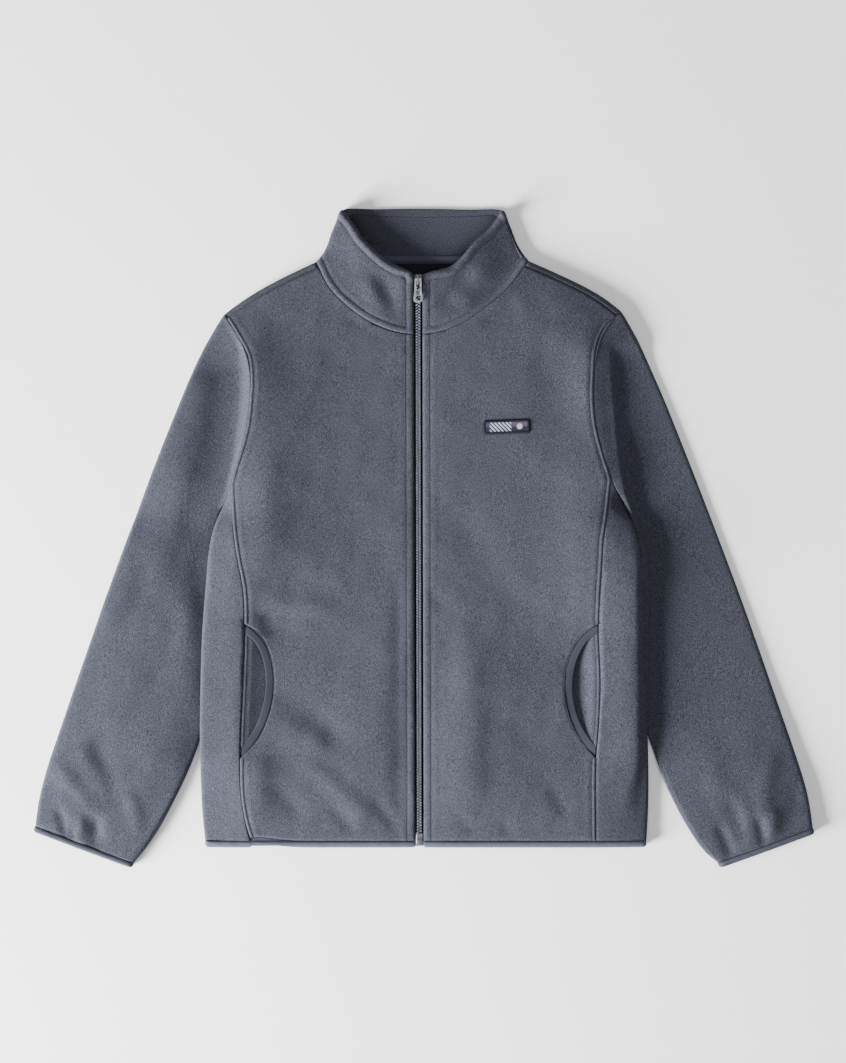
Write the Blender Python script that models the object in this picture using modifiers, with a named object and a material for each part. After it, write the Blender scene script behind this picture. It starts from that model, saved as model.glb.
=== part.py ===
"""Fleece zip jacket, laid flat on its back: cloth panels, bindings, collar and zip.

X runs across the garment, Y from the hem to the collar and Z up from the surface it lies on.
The origin is under the middle of the garment's box. Right and left are the wearer's, so the
right side is at -X. Outlines are in millimetres, and out is a distance from the YZ plane.
"""
import math

import bmesh
import bpy
import numpy as np

MM = 0.001

# Driving sizes, in millimetres.
WALL = 2.5                 # fleece
COLLAR_WALL = 3.0          # two layers of fleece
BINDING_WALL = 2.9
MOUTH_WALL = 2.2
FACING_WALL = 2.0
SEAM_GAP = 0.3
FOLD_RADIUS = 6.0          # half the height of the flattened garment at its folded edges
MID_HEIGHT = 18.0          # top of the cloth away from the folds
COLLAR_RISE = 3.5          # the collar's upper edge stands this much higher
HEM_Y = -361.5             # lower edge of the panels, where the hem binding starts
HEM_WIDTH = 8.0
CUFF_WIDTH = 7.0
SHOULDER_SEAM_IN = 7.5     # the shoulder seam lies this far in from the shoulder fold
SLEEVE_STEP = 3.0          # the sleeve drops by this beyond the crease beside the armhole
CREASE_IN = 9.0            # that crease lies this far from the armhole seam
LIFT = 9.2                 # the body's side is raised by this where it lies on the sleeve
LIFT_REACH = 56.0          # the raised part is this wide, measured in from the side fold
SLEEVE_UNDER = 7.4         # height of the sleeve where the body lies on it
STAGE_GAP = 1.2            # between the side fold and the sleeve's inner fold above it
STAGE = 44.0               # length over which the side rises and the sleeve flattens
ZIP_GAP = 5.0              # from the zip's centre line to each front edge
ZIP_DIP = 1.6
TAPE_DROP = 2.3            # the tape's face lies this far below the cloth's
TAPE_WALL = 0.9
CHAIN_HALF = 3.0
CHAIN_WALL = 1.8
COLLAR_TOP_Y = 313.8       # upper end of the zip edges
NECK_Y = 243.6             # lower end of the collar at the zip

# y and out of the body's side: fold is its folded edge, seam the side panel's front seam.
BODY_SIDE = {
    "right": [(-361.5, 262.6, 206.5), (-335, 266.0, 213.5), (-310, 267.0, 217.5),
              (-262, 267.9, 218.6), (-228, 268.0, 217.8), (-178, 267.2, 215.6),
              (-102, 264.6, 213.4), (-62, 261.3, 214.6), (-26, 258.2, 221.2),
              (-2, 256.2, 225.0), (25, 247.2, 228.0)],
    "left": [(-361.5, 266.8, 205.3), (-335, 268.6, 205.0), (-289, 269.4, 204.6),
             (-262, 268.4, 205.2), (-228, 267.0, 208.0), (-178, 264.7, 210.2),
             (-102, 263.0, 208.0), (-62, 262.0, 209.3), (-26, 257.8, 211.5),
             (-2, 256.2, 213.0), (25, 246.6, 217.5)],
}
ARMPIT = {"right": (240.4, 38.0), "left": (240.1, 39.6)}
SEAM_TOP = {"right": (230.2, 64.0), "left": (222.6, 70.8)}
POCKET_SPAN = (-262.0, -102.0)

# y and out of the armhole seam, from the side-panel seam to the shoulder fold.
ARMHOLE = {
    "right": [(82, 225.4), (101, 219.0), (132, 210.6), (163, 207.0), (190, 205.8),
              (215, 208.7), (240, 221.4), (268, 239.0)],
    "left": [(77, 220.6), (106, 211.8), (137, 204.4), (169, 201.8), (194, 202.6),
             (226, 205.4), (250, 215.0), (271, 236.5)],
}
# y and out of the shoulder's and the sleeve's outer fold, from the neck point to the cuff.
SLEEVE_OUTER = {
    "right": [(331.0, 129.0), (317, 159.0), (297.6, 196.2), (282, 221.0), (268, 239.0),
              (237.6, 258.8), (213.6, 270.6), (165.6, 290.6), (117.6, 310.0), (21.6, 347.2),
              (-74.4, 382.4), (-194.4, 424.2), (-290, 456.2), (-325, 465.4), (-344.0, 465.8)],
    "left": [(332.0, 125.4), (320.9, 150.6), (308.4, 178.2), (294, 205.8), (271, 236.5),
             (237.6, 256.6), (213.6, 267.4), (165.6, 288.6), (117.6, 307.8), (21.6, 345.2),
             (-74.4, 381.2), (-194.4, 423.2), (-290, 455.6), (-325, 465.2), (-346.5, 465.8)],
}
# y and out of the sleeve's inner fold where it shows, from the body's side to the cuff.
SLEEVE_INNER = {
    "right": [(-272, 278.5), (-320.4, 301.8), (-361.2, 324.6), (-388.5, 346.5)],
    "left": [(-262, 276.0), (-306, 293.5), (-345.6, 314.6), (-376, 334.5), (-388.3, 351.0)],
}
# y below the armpit's ramp, and how far in from the body's fold the hidden sleeve reaches.
SLEEVE_TUCK = [(-30, 8.0), (-62, 22.0), (-100, 32.0), (-145, 28.0), (-200, 10.0)]
TUCK_END = {"right": (-246.0, 268.6), "left": (-232.0, 267.8)}

# y and out of the collar's side fold, from the neck point to its upper corner.
COLLAR_SIDE = {
    "right": [(331.0, 129.0), (337.2, 123.0), (345.6, 117.6), (362.4, 112.6), (390, 99.5)],
    "left": [(332.0, 125.4), (339.6, 119.6), (349.2, 112.6), (362, 108.0), (389, 96.5)],
}
# y and out of the front neck seam, from the neck point to the zip.
NECK_SEAM = {
    "right": [(331.0, 129.0), (300, 113.4), (272.4, 85.8), (252, 51.4), (244.2, 23.9)],
    "left": [(332.0, 125.4), (300, 102.6), (279.6, 79.4), (253.2, 38.2), (244.4, 10.0)],
}
# y and out of the collar's upper edge, from its corner down to the zip.
COLLAR_EDGE = {
    "right": [(390, 99.5), (383, 91.0), (356.4, 72.1), (338.4, 54.1), (330.4, 44.5),
              (323.4, 30.6), (319.6, 17.4)],
    "left": [(389, 96.5), (383, 88.0), (370.3, 79.4), (352.3, 58.8), (334.4, 45.0),
             (323.8, 34.0), (319.8, 17.4), (317.6, 6.0)],
}
BACK_NECK_SAG = 1.5
COLLAR_BACK_TOP = 395.06
# y and out of the pocket mouth: the edge of the front panel along the binding.
POCKET_OUTER = {
    "right": [(-240, 197.5), (-211, 184.7), (-182, 178.6), (-158, 178.8), (-132.6, 185.0),
              (-112, 197.5)],
    "left": [(-244, 188.5), (-221.5, 175.4), (-194.4, 168.1), (-165.6, 167.2), (-134.4, 175.4),
             (-111.6, 190.5)],
}
BINDING_WIDTH = 9.5
SEAM_ROOM = 0.9            # the binding's ends stop this far from the side-panel seam

# Soft folds of the fronts and sleeves: a ridge or trough between two points.
FOLD_COLUMNS = ("x0", "y0", "x1", "y1", "half_width", "rise")
FOLDS = [
    (-202, 256, -196, 150, 13, 2.2), (-196, 150, -222, 75, 12, 2.0),
    (-166, 262, -160, 180, 20, -2.4), (-160, 130, -150, -10, 22, -2.0),
    (180, 250, 186, 150, 14, 1.6), (148, 290, 110, 272, 12, -1.8),
    (128, 302, 178, 300, 9, 1.4), (-170, -85, -176, -125, 13, -2.2),
    (-172, -178, -34, -336, 14, -2.0), (-186, -206, -70, -280, 15, 2.0),
    (-150, -206, -60, -262, 12, -1.5), (24, -170, 26, -345, 16, 1.8),
    (-46, -318, -22, -352, 9, -1.8), (110, -215, 150, -290, 24, -1.4),
    (150, -120, 70, -170, 22, -1.2), (12, 232, 42, 240, 8, -1.4),
    (-236, 200, -252, 90, 12, -1.6), (-270, 150, -310, -20, 16, 1.6),
    (-290, 60, -288, -60, 16, -1.6), (-392, -236, -370, -300, 14, -1.8),
    (-446, -250, -404, -330, 14, 1.8), (-428, -318, -398, -356, 8, -1.4),
    (262, 190, 300, 20, 18, -1.6), (346, -320, 372, -362, 12, -1.8),
    (414, -280, 402, -352, 12, 1.4), (396, -330, 392, -362, 7, -1.2),
]
COLLAR_FOLDS = [
    (-54, 320, -44, 294, 7, -2.2), (-66, 300, -58, 270, 9, 1.6),
    (58, 318, 46, 288, 8, -2.4), (46, 288, 26, 268, 8, -1.6), (80, 330, 74, 300, 10, 1.4),
]

# Cells along each seam; pieces that meet there share its points.
ARC_STEPS = 3
CELLS_HEM_TO_POCKET = 3
CELLS_POCKET = 8
CELLS_POCKET_TO_TOP = 6
CELLS_ARMHOLE = 6
CELLS_SHOULDER = 7
EDGE_STRIP = 4.0           # narrow cells beside the armhole seam
SECOND_ROW = (42.0, 13.0)  # the next row of the sleeve, at the shoulder and at the armpit
CELLS_NECK = 6
CELLS_BACK_NECK = 8
CELLS_COLLAR = 5
CELLS_ZIP = 26

SLATE = (0.135, 0.148, 0.19, 1.0)
SLATE_TRIM = (0.12, 0.135, 0.175, 1.0)
INK = (0.012, 0.013, 0.02, 1.0)
STEEL = (0.62, 0.63, 0.66, 1.0)
LABEL_BLUE = (0.30, 0.33, 0.46, 1.0)


# Curves in the plan ------------------------------------------------------------------------

def spline(points, step=1.5):
    """A smooth line through the points, as closely spaced x, y pairs."""
    points = np.array(points, float)
    gaps = np.linalg.norm(np.diff(points, axis=0), axis=1)
    slopes = np.diff(points, axis=0) / gaps[:, None]
    weights = (gaps[1:] + gaps[:-1])[:, None]
    middle = (slopes[:-1] * gaps[1:, None] + slopes[1:] * gaps[:-1, None]) / weights
    tangents = np.vstack([slopes[:1], middle, slopes[-1:]])
    line = []
    for k, gap in enumerate(gaps):
        t = np.linspace(0, 1, max(2, int(gap / step)), endpoint=False)[:, None]
        line.append((1 + 2 * t) * (1 - t) ** 2 * points[k]
                    + t * (1 - t) ** 2 * gap * tangents[k]
                    + t * t * (3 - 2 * t) * points[k + 1]
                    + t * t * (t - 1) * gap * tangents[k + 1])
    return np.vstack(line + [points[-1:]])


def lengths(line):
    """Distance along the line at each of its points."""
    steps = np.linalg.norm(np.diff(line, axis=0), axis=1)
    return np.concatenate([[0], np.cumsum(steps)])


def at_lengths(line, wanted):
    """Points of the line at the wanted distances along it."""
    run = lengths(line)
    return np.column_stack([np.interp(wanted, run, line[:, k]) for k in range(line.shape[1])])


def evenly(line, cells, start=0.0, end=None):
    """Evenly spaced points from start to end, distances along the line."""
    end = lengths(line)[-1] if end is None else end
    return at_lengths(line, np.linspace(start, end, cells + 1))


def shifted(line, toward, amount=SEAM_GAP / 2):
    """The line moved sideways in the plan, to the side on which the point toward lies."""
    flat = line[:, :2]
    run = np.gradient(flat, axis=0)
    run /= np.linalg.norm(run, axis=1)[:, None]
    normal = np.column_stack([-run[:, 1], run[:, 0]])
    middle = len(flat) // 2
    side = np.sign(np.dot(normal[middle], np.array(toward, float) - flat[middle]))
    moved = line.copy()
    moved[:, :2] += normal * side * np.reshape(amount, (-1, 1))
    return moved


def distance_to(line, x, y):
    """Distance from each x, y to the nearest point of the line."""
    points = np.column_stack([np.ravel(x), np.ravel(y)])
    start, run = line[:-1], np.diff(line, axis=0)
    share = np.einsum("nmk,mk->nm", points[:, None] - start, run) / (run ** 2).sum(1)
    nearest = start + np.clip(share, 0, 1)[..., None] * run
    return np.linalg.norm(points[:, None] - nearest, axis=2).min(1).reshape(np.shape(x))


def smooth(t):
    """0 to 1 with level ends."""
    t = np.clip(t, 0, 1)
    return t * t * (3 - 2 * t)


def outline(table, side):
    """Points x, y of one side from rows of y and out."""
    sign = SIGN[side]
    return [(sign * out, y) for y, out in table[side]]


SIGN = {"right": -1.0, "left": 1.0}


def zip_x(y):
    """The zip's centre line, which leans a little."""
    return -5.4 - 1.7 * (y - HEM_Y) / (COLLAR_TOP_Y - HEM_Y)


class Side:
    """The lines of one side of the garment, worked out from the tables above."""

    def __init__(self, name):
        self.name = name
        self.sign = SIGN[name]
        sign = self.sign
        table = BODY_SIDE[name]
        armpit = (sign * ARMPIT[name][0], ARMPIT[name][1])
        seam_top = (sign * SEAM_TOP[name][0], SEAM_TOP[name][1])
        self.armpit = np.array(armpit)
        self.fold = spline([(sign * fold, y) for y, fold, seam in table] + [armpit])
        self.seam = spline([(sign * seam, y) for y, fold, seam in table] + [seam_top])
        self.armhole = spline(([armpit, seam_top] + outline(ARMHOLE, name))[::-1])
        self.outer = spline(outline(SLEEVE_OUTER, name))
        self.collar_side = spline(outline(COLLAR_SIDE, name))
        self.silhouette = np.vstack([self.collar_side[::-1], self.outer[1:]])
        zip_edge = zip_x(NECK_Y) + sign * ZIP_GAP
        self.neck = spline(outline(NECK_SEAM, name) + [(zip_edge, NECK_Y)])
        self.collar_edge = spline(outline(COLLAR_EDGE, name)
                                  + [(zip_x(COLLAR_TOP_Y) + sign * ZIP_GAP, COLLAR_TOP_Y)])
        self.stage_end = armpit[1] - STAGE
        beside = [(self.fold_x(y) + sign * STAGE_GAP, y)
                  for y in np.linspace(armpit[1] - 6, self.stage_end, 4)]
        tucked = [(self.fold_x(y) - sign * tuck, y) for y, tuck in SLEEVE_TUCK]
        shown = [(sign * out, y) for y, out in SLEEVE_INNER[name]]
        tuck_end = (sign * TUCK_END[name][1], TUCK_END[name][0])
        self.inner = spline([armpit] + beside + tucked + [tuck_end] + shown)
        low, high = POCKET_SPAN
        ends = [(self.seam_x(low), low)], [(self.seam_x(high), high)]
        self.pocket = spline(ends[0] + outline(POCKET_OUTER, name) + ends[1])

    def fold_x(self, y):
        return float(np.interp(y, self.fold[:, 1], self.fold[:, 0]))

    def seam_x(self, y):
        return float(np.interp(y, self.seam[:, 1], self.seam[:, 0]))

    def raised(self, y):
        """0 to 1: how far the body's side is raised on the sleeve at this y."""
        down = smooth((self.armpit[1] - y) / STAGE)
        return down * smooth((y - TUCK_END[self.name][0] + 54) / 50)


SIDES = {name: Side(name) for name in SIGN}


# Heights of the cloth ------------------------------------------------------------------------

def edge_profile(distance):
    """Height of a round fold's face over its middle, as a share of its half height."""
    q = np.clip(distance / FOLD_RADIUS, 0, 1)
    return np.sqrt(np.clip(1 - (1 - q) ** 2, 0, 1))


def fold_relief(rows, x, y):
    """Sum of the ridges and troughs in the rows at each x, y."""
    total = np.zeros(np.shape(x))
    for row in rows:
        fold = dict(zip(FOLD_COLUMNS, row))
        start = np.array([fold["x0"], fold["y0"]], float)
        run = np.array([fold["x1"], fold["y1"]], float) - start
        share = ((x - start[0]) * run[0] + (y - start[1]) * run[1]) / (run @ run)
        near = np.clip(share, 0, 1)
        gap = np.hypot(x - start[0] - near * run[0], y - start[1] - near * run[1])
        taper = smooth(near / 0.3 + 0.25) * smooth((1 - near) / 0.3 + 0.25)
        total += fold["rise"] * np.exp(-(gap / fold["half_width"]) ** 2) * taper
    return total


def nearest_side(x):
    return np.where(np.asarray(x) < 0, "right", "left")


def by_side(function, x, y):
    """The function of side, x, y evaluated on the side that each x lies on."""
    x, y = np.broadcast_arrays(np.asarray(x, float), np.asarray(y, float))
    result = np.empty(x.shape)
    for name, side in SIDES.items():
        mask = nearest_side(x) == name
        if mask.any():
            result[mask] = function(side, x[mask], y[mask])
    return result


def body_layers(side, x, y):
    """Distance from the fold, under height and top height of the body or collar at x, y."""
    gap = np.minimum(distance_to(side.silhouette, x, y), distance_to(side.fold, x, y))
    edge = np.interp(y, side.fold[:, 1], side.fold[:, 0])
    inward = side.sign * (edge - x)
    under = LIFT * side.raised(y) * (1 - smooth((inward - LIFT_REACH) / 45))
    puff = smooth(gap / 55) * (0.45 + 0.55 * smooth((y - HEM_Y) / 50))
    dip = ZIP_DIP * np.exp(-((x - zip_x(y)) / 15) ** 2)
    folds = fold_relief(FOLDS, x, y) * smooth(gap / 14)
    top = (2 * FOLD_RADIUS + under
           + (MID_HEIGHT - 2 * FOLD_RADIUS) * puff * (1 - under / LIFT) + folds - dip)
    return gap, under, top


def body_height(x, y, layer):
    """Height of the body's outer face; layer is 1 on top, 0 on a fold and -1 below."""
    def height(side, x, y):
        gap, under, top = body_layers(side, x, y)
        return (top + under) / 2 + layer * (top - under) / 2 * edge_profile(gap)
    return by_side(height, x, y)


def sleeve_height(side, x, y, layer):
    """Height of the sleeve's outer face."""
    gap = np.minimum(distance_to(side.silhouette, x, y), distance_to(side.inner, x, y))
    crease = smooth((distance_to(side.armhole, x, y) - CREASE_IN) / 8)
    to_cuff = distance_to(np.array([side.outer[-1], side.inner[-1]]), x, y)
    full = (MID_HEIGHT - 2 * FOLD_RADIUS - SLEEVE_STEP * crease) * smooth(gap / 55)
    full = full * (0.4 + 0.6 * smooth(to_cuff / 50))
    top = 2 * FOLD_RADIUS + full + fold_relief(FOLDS, x, y) * smooth(gap / 14) * crease
    edge = np.interp(y, side.fold[:, 1], side.fold[:, 0])
    outward = side.sign * (x - edge)
    flat = side.raised(y) * (1 - smooth((outward - 3) / 24))
    top = top + (SLEEVE_UNDER - top) * flat
    return top / 2 + layer * top / 2 * edge_profile(gap)


# Meshes ----------------------------------------------------------------------------------------

def patch(bottom, top, left, right):
    """Plan points of a four-sided patch: rows follow left and right, columns bottom and top."""
    u = lengths(top)[None, :, None] / lengths(top)[-1]
    v = (left[:, 1] - left[0, 1])[:, None, None] / (left[-1, 1] - left[0, 1])
    ruled = (1 - v) * bottom[None] + v * top[None] + (1 - u) * left[:, None] + u * right[:, None]
    corners = ((1 - u) * (1 - v) * bottom[0] + u * (1 - v) * bottom[-1]
               + (1 - u) * v * top[0] + u * v * top[-1])
    return ruled - corners


def with_height(plan, height):
    """Three-dimensional points from plan points and their heights."""
    return np.concatenate([plan, np.asarray(height)[..., None]], axis=-1)


def add_grid(mesh, points):
    """Adds a sheet of quads through the rows and columns of points, in millimetres."""
    rows, columns = points.shape[:2]
    made = bmesh.ops.create_grid(mesh, x_segments=columns - 1, y_segments=rows - 1, size=0.5)
    for vertex in made["verts"]:
        column = round((vertex.co.x + 0.5) * (columns - 1))
        row = round((vertex.co.y + 0.5) * (rows - 1))
        vertex.co = points[row, column] * MM


def material(name, colour, roughness=0.95, metallic=0.0):
    made = bpy.data.materials.new(name)
    made.use_nodes = True
    shader = made.node_tree.nodes["Principled BSDF"]
    shader.inputs["Base Color"].default_value = colour
    shader.inputs["Roughness"].default_value = roughness
    shader.inputs["Metallic"].default_value = metallic
    return made


def add_object(name, mesh, finish):
    """An object in the garment's collection from a bmesh."""
    data = bpy.data.meshes.new(name)
    mesh.to_mesh(data)
    mesh.free()
    data.materials.append(finish)
    made = bpy.data.objects.new(name, data)
    PARTS.objects.link(made)
    return made


def add_cloth(name, grids, thickness, finish, facing="out"):
    """A wall of cloth: its outer face is the welded grids, its thickness goes inwards."""
    mesh = bmesh.new()
    for grid in grids:
        add_grid(mesh, grid)
    bmesh.ops.remove_doubles(mesh, verts=mesh.verts, dist=0.02 * MM)
    bmesh.ops.recalc_face_normals(mesh, faces=mesh.faces)
    middle = (FOLD_RADIUS + 0.5) * MM if facing == "out" else -1.0
    score = sum(face.calc_area() * face.normal.z * (face.calc_center_median().z - middle)
                for face in mesh.faces)
    if score < 0:
        bmesh.ops.reverse_faces(mesh, faces=mesh.faces)
    made = add_object(name, mesh, finish)
    wall = made.modifiers.new("wall", "SOLIDIFY")
    wall.thickness = thickness * MM
    wall.offset = -1
    wall.use_even_offset = False
    for polygon in made.data.polygons:
        polygon.use_smooth = True
    return made


def add_box(name, low, high, finish, bevel=0.0):
    """A box between two corners, in millimetres."""
    low, high = np.array(low, float), np.array(high, float)
    mesh = bmesh.new()
    bmesh.ops.create_cube(mesh, size=1)
    for vertex in mesh.verts:
        vertex.co = ((low + high) / 2 + np.array(vertex.co) * (high - low)) * MM
    if bevel:
        bmesh.ops.bevel(mesh, geom=mesh.edges, offset=bevel * MM, segments=1, profile=0.5,
                        affect="EDGES", material=-1)
    return add_object(name, mesh, finish)


# The scene -------------------------------------------------------------------------------------

for old in list(bpy.data.objects):
    bpy.data.objects.remove(old, do_unlink=True)
PARTS = bpy.data.collections.new("fleece zip jacket")
bpy.context.scene.collection.children.link(PARTS)
CUTTERS = bpy.data.collections.new("cutters")
bpy.context.scene.collection.children.link(CUTTERS)

# Distances from a fold at which its round face has its points, and the seam beside it.
ARC = [FOLD_RADIUS * (1 - math.cos(math.pi / 2 * k / ARC_STEPS)) for k in range(ARC_STEPS + 1)]
FLAT = ARC + [SHOULDER_SEAM_IN]

# Seam points -----------------------------------------------------------------------------------
# Each seam is sampled once, so that the pieces on its two sides keep an even gap.
CENTRE = (0.0, 0.0)


def armhole_stations(side):
    """Distances along the armhole: shoulder fold, front seam, side-panel seam, armpit."""
    total = lengths(side.armhole)[-1]
    corner = np.array([side.sign * SEAM_TOP[side.name][0], SEAM_TOP[side.name][1]])
    nearest = np.argmin(np.linalg.norm(side.armhole - corner, axis=1))
    seam_run = lengths(side.armhole)[nearest]
    main = np.linspace(SHOULDER_SEAM_IN, seam_run, CELLS_ARMHOLE + 1)[1:]
    flat_middle = (seam_run + total - ARC[-1]) / 2
    pit = [total - gap for gap in ARC[::-1]]
    return np.array(FLAT + list(main) + [flat_middle] + pit)


for side in SIDES.values():
    low, high = POCKET_SPAN
    heights = np.concatenate([np.linspace(HEM_Y, low, CELLS_HEM_TO_POCKET + 1),
                              np.linspace(low, high, CELLS_POCKET + 1)[1:]])
    lower = np.array([(side.seam_x(y), y) for y in heights])
    from_pocket = side.seam[side.seam[:, 1] > high]
    upper = evenly(np.vstack([lower[-1:], from_pocket]), CELLS_POCKET_TO_TOP)[1:]
    side.seam_points = np.vstack([lower, upper])
    side.stations = armhole_stations(side)
    side.armhole_points = at_lengths(side.armhole, side.stations)
    side.pit_index = len(FLAT) - 1 + CELLS_ARMHOLE
    reach = lengths(side.neck)[-1]
    rest = np.linspace(SHOULDER_SEAM_IN, reach, CELLS_NECK + 1)[1:]
    side.neck_points = at_lengths(side.neck, np.array(FLAT + list(rest)))
    shoulder_end = side.armhole_points[0]
    end = np.argmin(np.linalg.norm(side.outer - shoulder_end, axis=1))
    side.shoulder_line = np.vstack([side.outer[:end], shoulder_end])
    reach = lengths(side.shoulder_line)[-1]
    side.shoulder_points = at_lengths(side.shoulder_line, np.append(
        np.linspace(0, reach - EDGE_STRIP, CELLS_SHOULDER), reach))

right, left = SIDES["right"], SIDES["left"]
neck_span = np.linspace(0, 1, 41)[:, None]
neck_line = (1 - neck_span) * right.neck_points[0] + neck_span * left.neck_points[0]
neck_line[:, 1] -= BACK_NECK_SAG * np.sin(math.pi * neck_span[:, 0])
back_reach = lengths(neck_line)[-1]
BACK_NECK = at_lengths(neck_line, np.array(
    ARC + list(np.linspace(ARC[-1], back_reach - ARC[-1], CELLS_BACK_NECK + 1)[1:-1])
    + [back_reach - gap for gap in ARC[::-1]]))


def shoulder_rows(side, neck_ends, depths):
    """Rows of points beside the shoulder fold, from the neck seam to the armhole."""
    share = lengths(side.shoulder_points) / lengths(side.shoulder_points)[-1]
    rows = []
    for neck_end, depth in zip(neck_ends, range(depths)):
        neck_step = neck_end - side.shoulder_points[0]
        arm_step = side.armhole_points[depth] - side.shoulder_points[-1]
        rows.append(side.shoulder_points + np.outer(1 - share, neck_step)
                    + np.outer(share, arm_step))
    return rows


# Front panels ----------------------------------------------------------------------------------
fleece = material("fleece", SLATE)
hem_rows = {}
HEM_LIFT, HEM_LIFT_X, HEM_LIFT_HALF = 5.0, -198, 26


def front_hem(xs):
    """The front's lower edge, lifted a little near the right side panel."""
    return HEM_Y + HEM_LIFT * np.exp(-((xs - HEM_LIFT_X) / HEM_LIFT_HALF) ** 2)


def front_panel(side):
    """Front from the zip to the side-panel seam and armhole, cut away at the pocket mouth."""
    seam = shifted(side.seam_points, CENTRE)
    mouth = shifted(evenly(side.pocket, CELLS_POCKET), CENTRE)
    below = CELLS_HEM_TO_POCKET
    outer_edge = np.vstack([seam[:below], mouth, seam[below + CELLS_POCKET + 1:]])
    arm = shifted(side.armhole_points, CENTRE)[len(FLAT) - 1:side.pit_index + 1][::-1]
    side_edge = np.vstack([outer_edge[:-1], (outer_edge[-1:] + arm[:1]) / 2, arm[1:]])
    shoulder = shoulder_rows(side, [side.neck_points[len(FLAT) - 1]] * len(FLAT), len(FLAT))
    shoulder = shifted(shoulder[-1], CENTRE)[::-1]
    neck = shifted(side.neck_points, CENTRE)[len(FLAT) - 1:]
    shoulder[-1] = (shoulder[-1] + neck[0]) / 2
    top = np.vstack([side_edge[-1:], shoulder[1:], neck[1:]])
    top[-1, 0] = zip_x(top[-1, 1]) + side.sign * ZIP_GAP
    share = (side_edge[:, 1] - side_edge[0, 1]) / (side_edge[-1, 1] - side_edge[0, 1])
    zip_y = HEM_Y + share * (top[-1, 1] - HEM_Y)
    zip_edge = np.column_stack([zip_x(zip_y) + side.sign * ZIP_GAP, zip_y])
    across = lengths(top) / lengths(top)[-1]
    hem_x = side_edge[0, 0] + across * (zip_edge[0, 0] - side_edge[0, 0])
    hem = np.column_stack([hem_x, front_hem(hem_x)])
    side_edge[0], zip_edge[0] = hem[0], hem[-1]
    plan = patch(hem, top, side_edge, zip_edge)
    points = with_height(plan, body_height(plan[..., 0], plan[..., 1], 1))
    hem_rows["front_" + side.name] = points[0]
    add_cloth("front_" + side.name, [points], WALL, fleece)


for side in SIDES.values():
    front_panel(side)


# Side panels -----------------------------------------------------------------------------------

def side_panel(side):
    """Panel from the front seam round the side fold to the back seam."""
    outside = side.armpit + np.array([side.sign * 60, -60])
    seam = shifted(side.seam_points, outside)
    level = side.seam_points[:, 1]
    turn = side.armpit[1] - 12
    level = np.where(level < turn, level, turn + 12 * (level - turn) / (level[-1] - turn))
    fold = np.column_stack([[side.fold_x(y) for y in level], level])
    rows = []
    for corner, edge in zip(seam, fold):
        width = np.linalg.norm(edge - corner)
        gaps = np.array([width, (width + ARC[-1]) / 2] + ARC[::-1])
        rows.append(edge + np.outer(gaps / width, corner - edge))
    plan = np.array(rows)
    top_row = shifted(side.armhole_points[side.pit_index:], side.armpit - (0, 60))
    plan[-1] = top_row
    plan[-1, 0] = (top_row[0] + seam[-1]) / 2
    above = body_height(plan[..., 0], plan[..., 1], 1)
    below = body_height(plan[..., 0], plan[..., 1], -1)
    middle = body_height(plan[:, -1, 0], plan[:, -1, 1], 0)
    above[:, -1] = middle
    front_half = with_height(plan, above)
    back_half = with_height(plan, below)[:, :-1][:, ::-1]
    points = np.concatenate([front_half, back_half], axis=1)
    hem_rows["side_" + side.name] = points[0]
    add_cloth("side_panel_" + side.name, [points], WALL, fleece)


for side in SIDES.values():
    side_panel(side)


# Back panel ------------------------------------------------------------------------------------

def back_panel():
    """Back from the hem to the neck seam, wrapped over each shoulder to the front seam."""
    edges, tops, wraps = {}, {}, []
    for side, neck_side in ((right, BACK_NECK), (left, BACK_NECK[::-1])):
        seam = shifted(side.seam_points, CENTRE)
        arm = shifted(side.armhole_points, CENTRE)
        edge = arm[ARC_STEPS:side.pit_index + 1][::-1]
        joint = (seam[-1:] + edge[:1]) / 2
        edges[side.name] = np.vstack([seam[:-1], joint, edge[1:]])
        below_neck = neck_side[:ARC_STEPS + 1] - (0, SEAM_GAP / 2)
        front_neck = shifted(side.neck_points, CENTRE)[:len(FLAT)]
        lower = shoulder_rows(side, below_neck, ARC_STEPS + 1)
        upper = shoulder_rows(side, front_neck, len(FLAT))
        for rows in (lower, upper):
            for depth, row in enumerate(rows):
                row[-1] = arm[depth]
        upper[-1][:-1] = shifted(upper[-1], side.shoulder_points[3])[:-1]
        upper[0] = lower[0] = (lower[0] + upper[0]) / 2
        plan = np.array(lower[::-1] + upper[1:])
        layers = np.array([-1] * ARC_STEPS + [0] + [1] * (len(FLAT) - 1))
        height = np.array([body_height(row[:, 0], row[:, 1], layer)
                           for row, layer in zip(plan, layers)])
        wraps.append(with_height(plan, height))
        tops[side.name] = lower[-1]
    neck = BACK_NECK[ARC_STEPS:-ARC_STEPS] - (0, SEAM_GAP / 2)
    top = np.vstack([tops["right"][::-1], neck[1:-1], tops["left"]])
    across = lengths(top) / lengths(top)[-1]
    start, end = edges["right"][0], edges["left"][0]
    hem = start + np.outer(across, end - start)
    plan = patch(hem, top, edges["right"], edges["left"])
    points = with_height(plan, body_height(plan[..., 0], plan[..., 1], -1))
    points[-1, :CELLS_SHOULDER + 1] = wraps[0][0][::-1]
    points[-1, -CELLS_SHOULDER - 1:] = wraps[1][0]
    hem_rows["back"] = points[0]
    add_cloth("back_panel", [points] + wraps, WALL, fleece)


back_panel()


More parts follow.
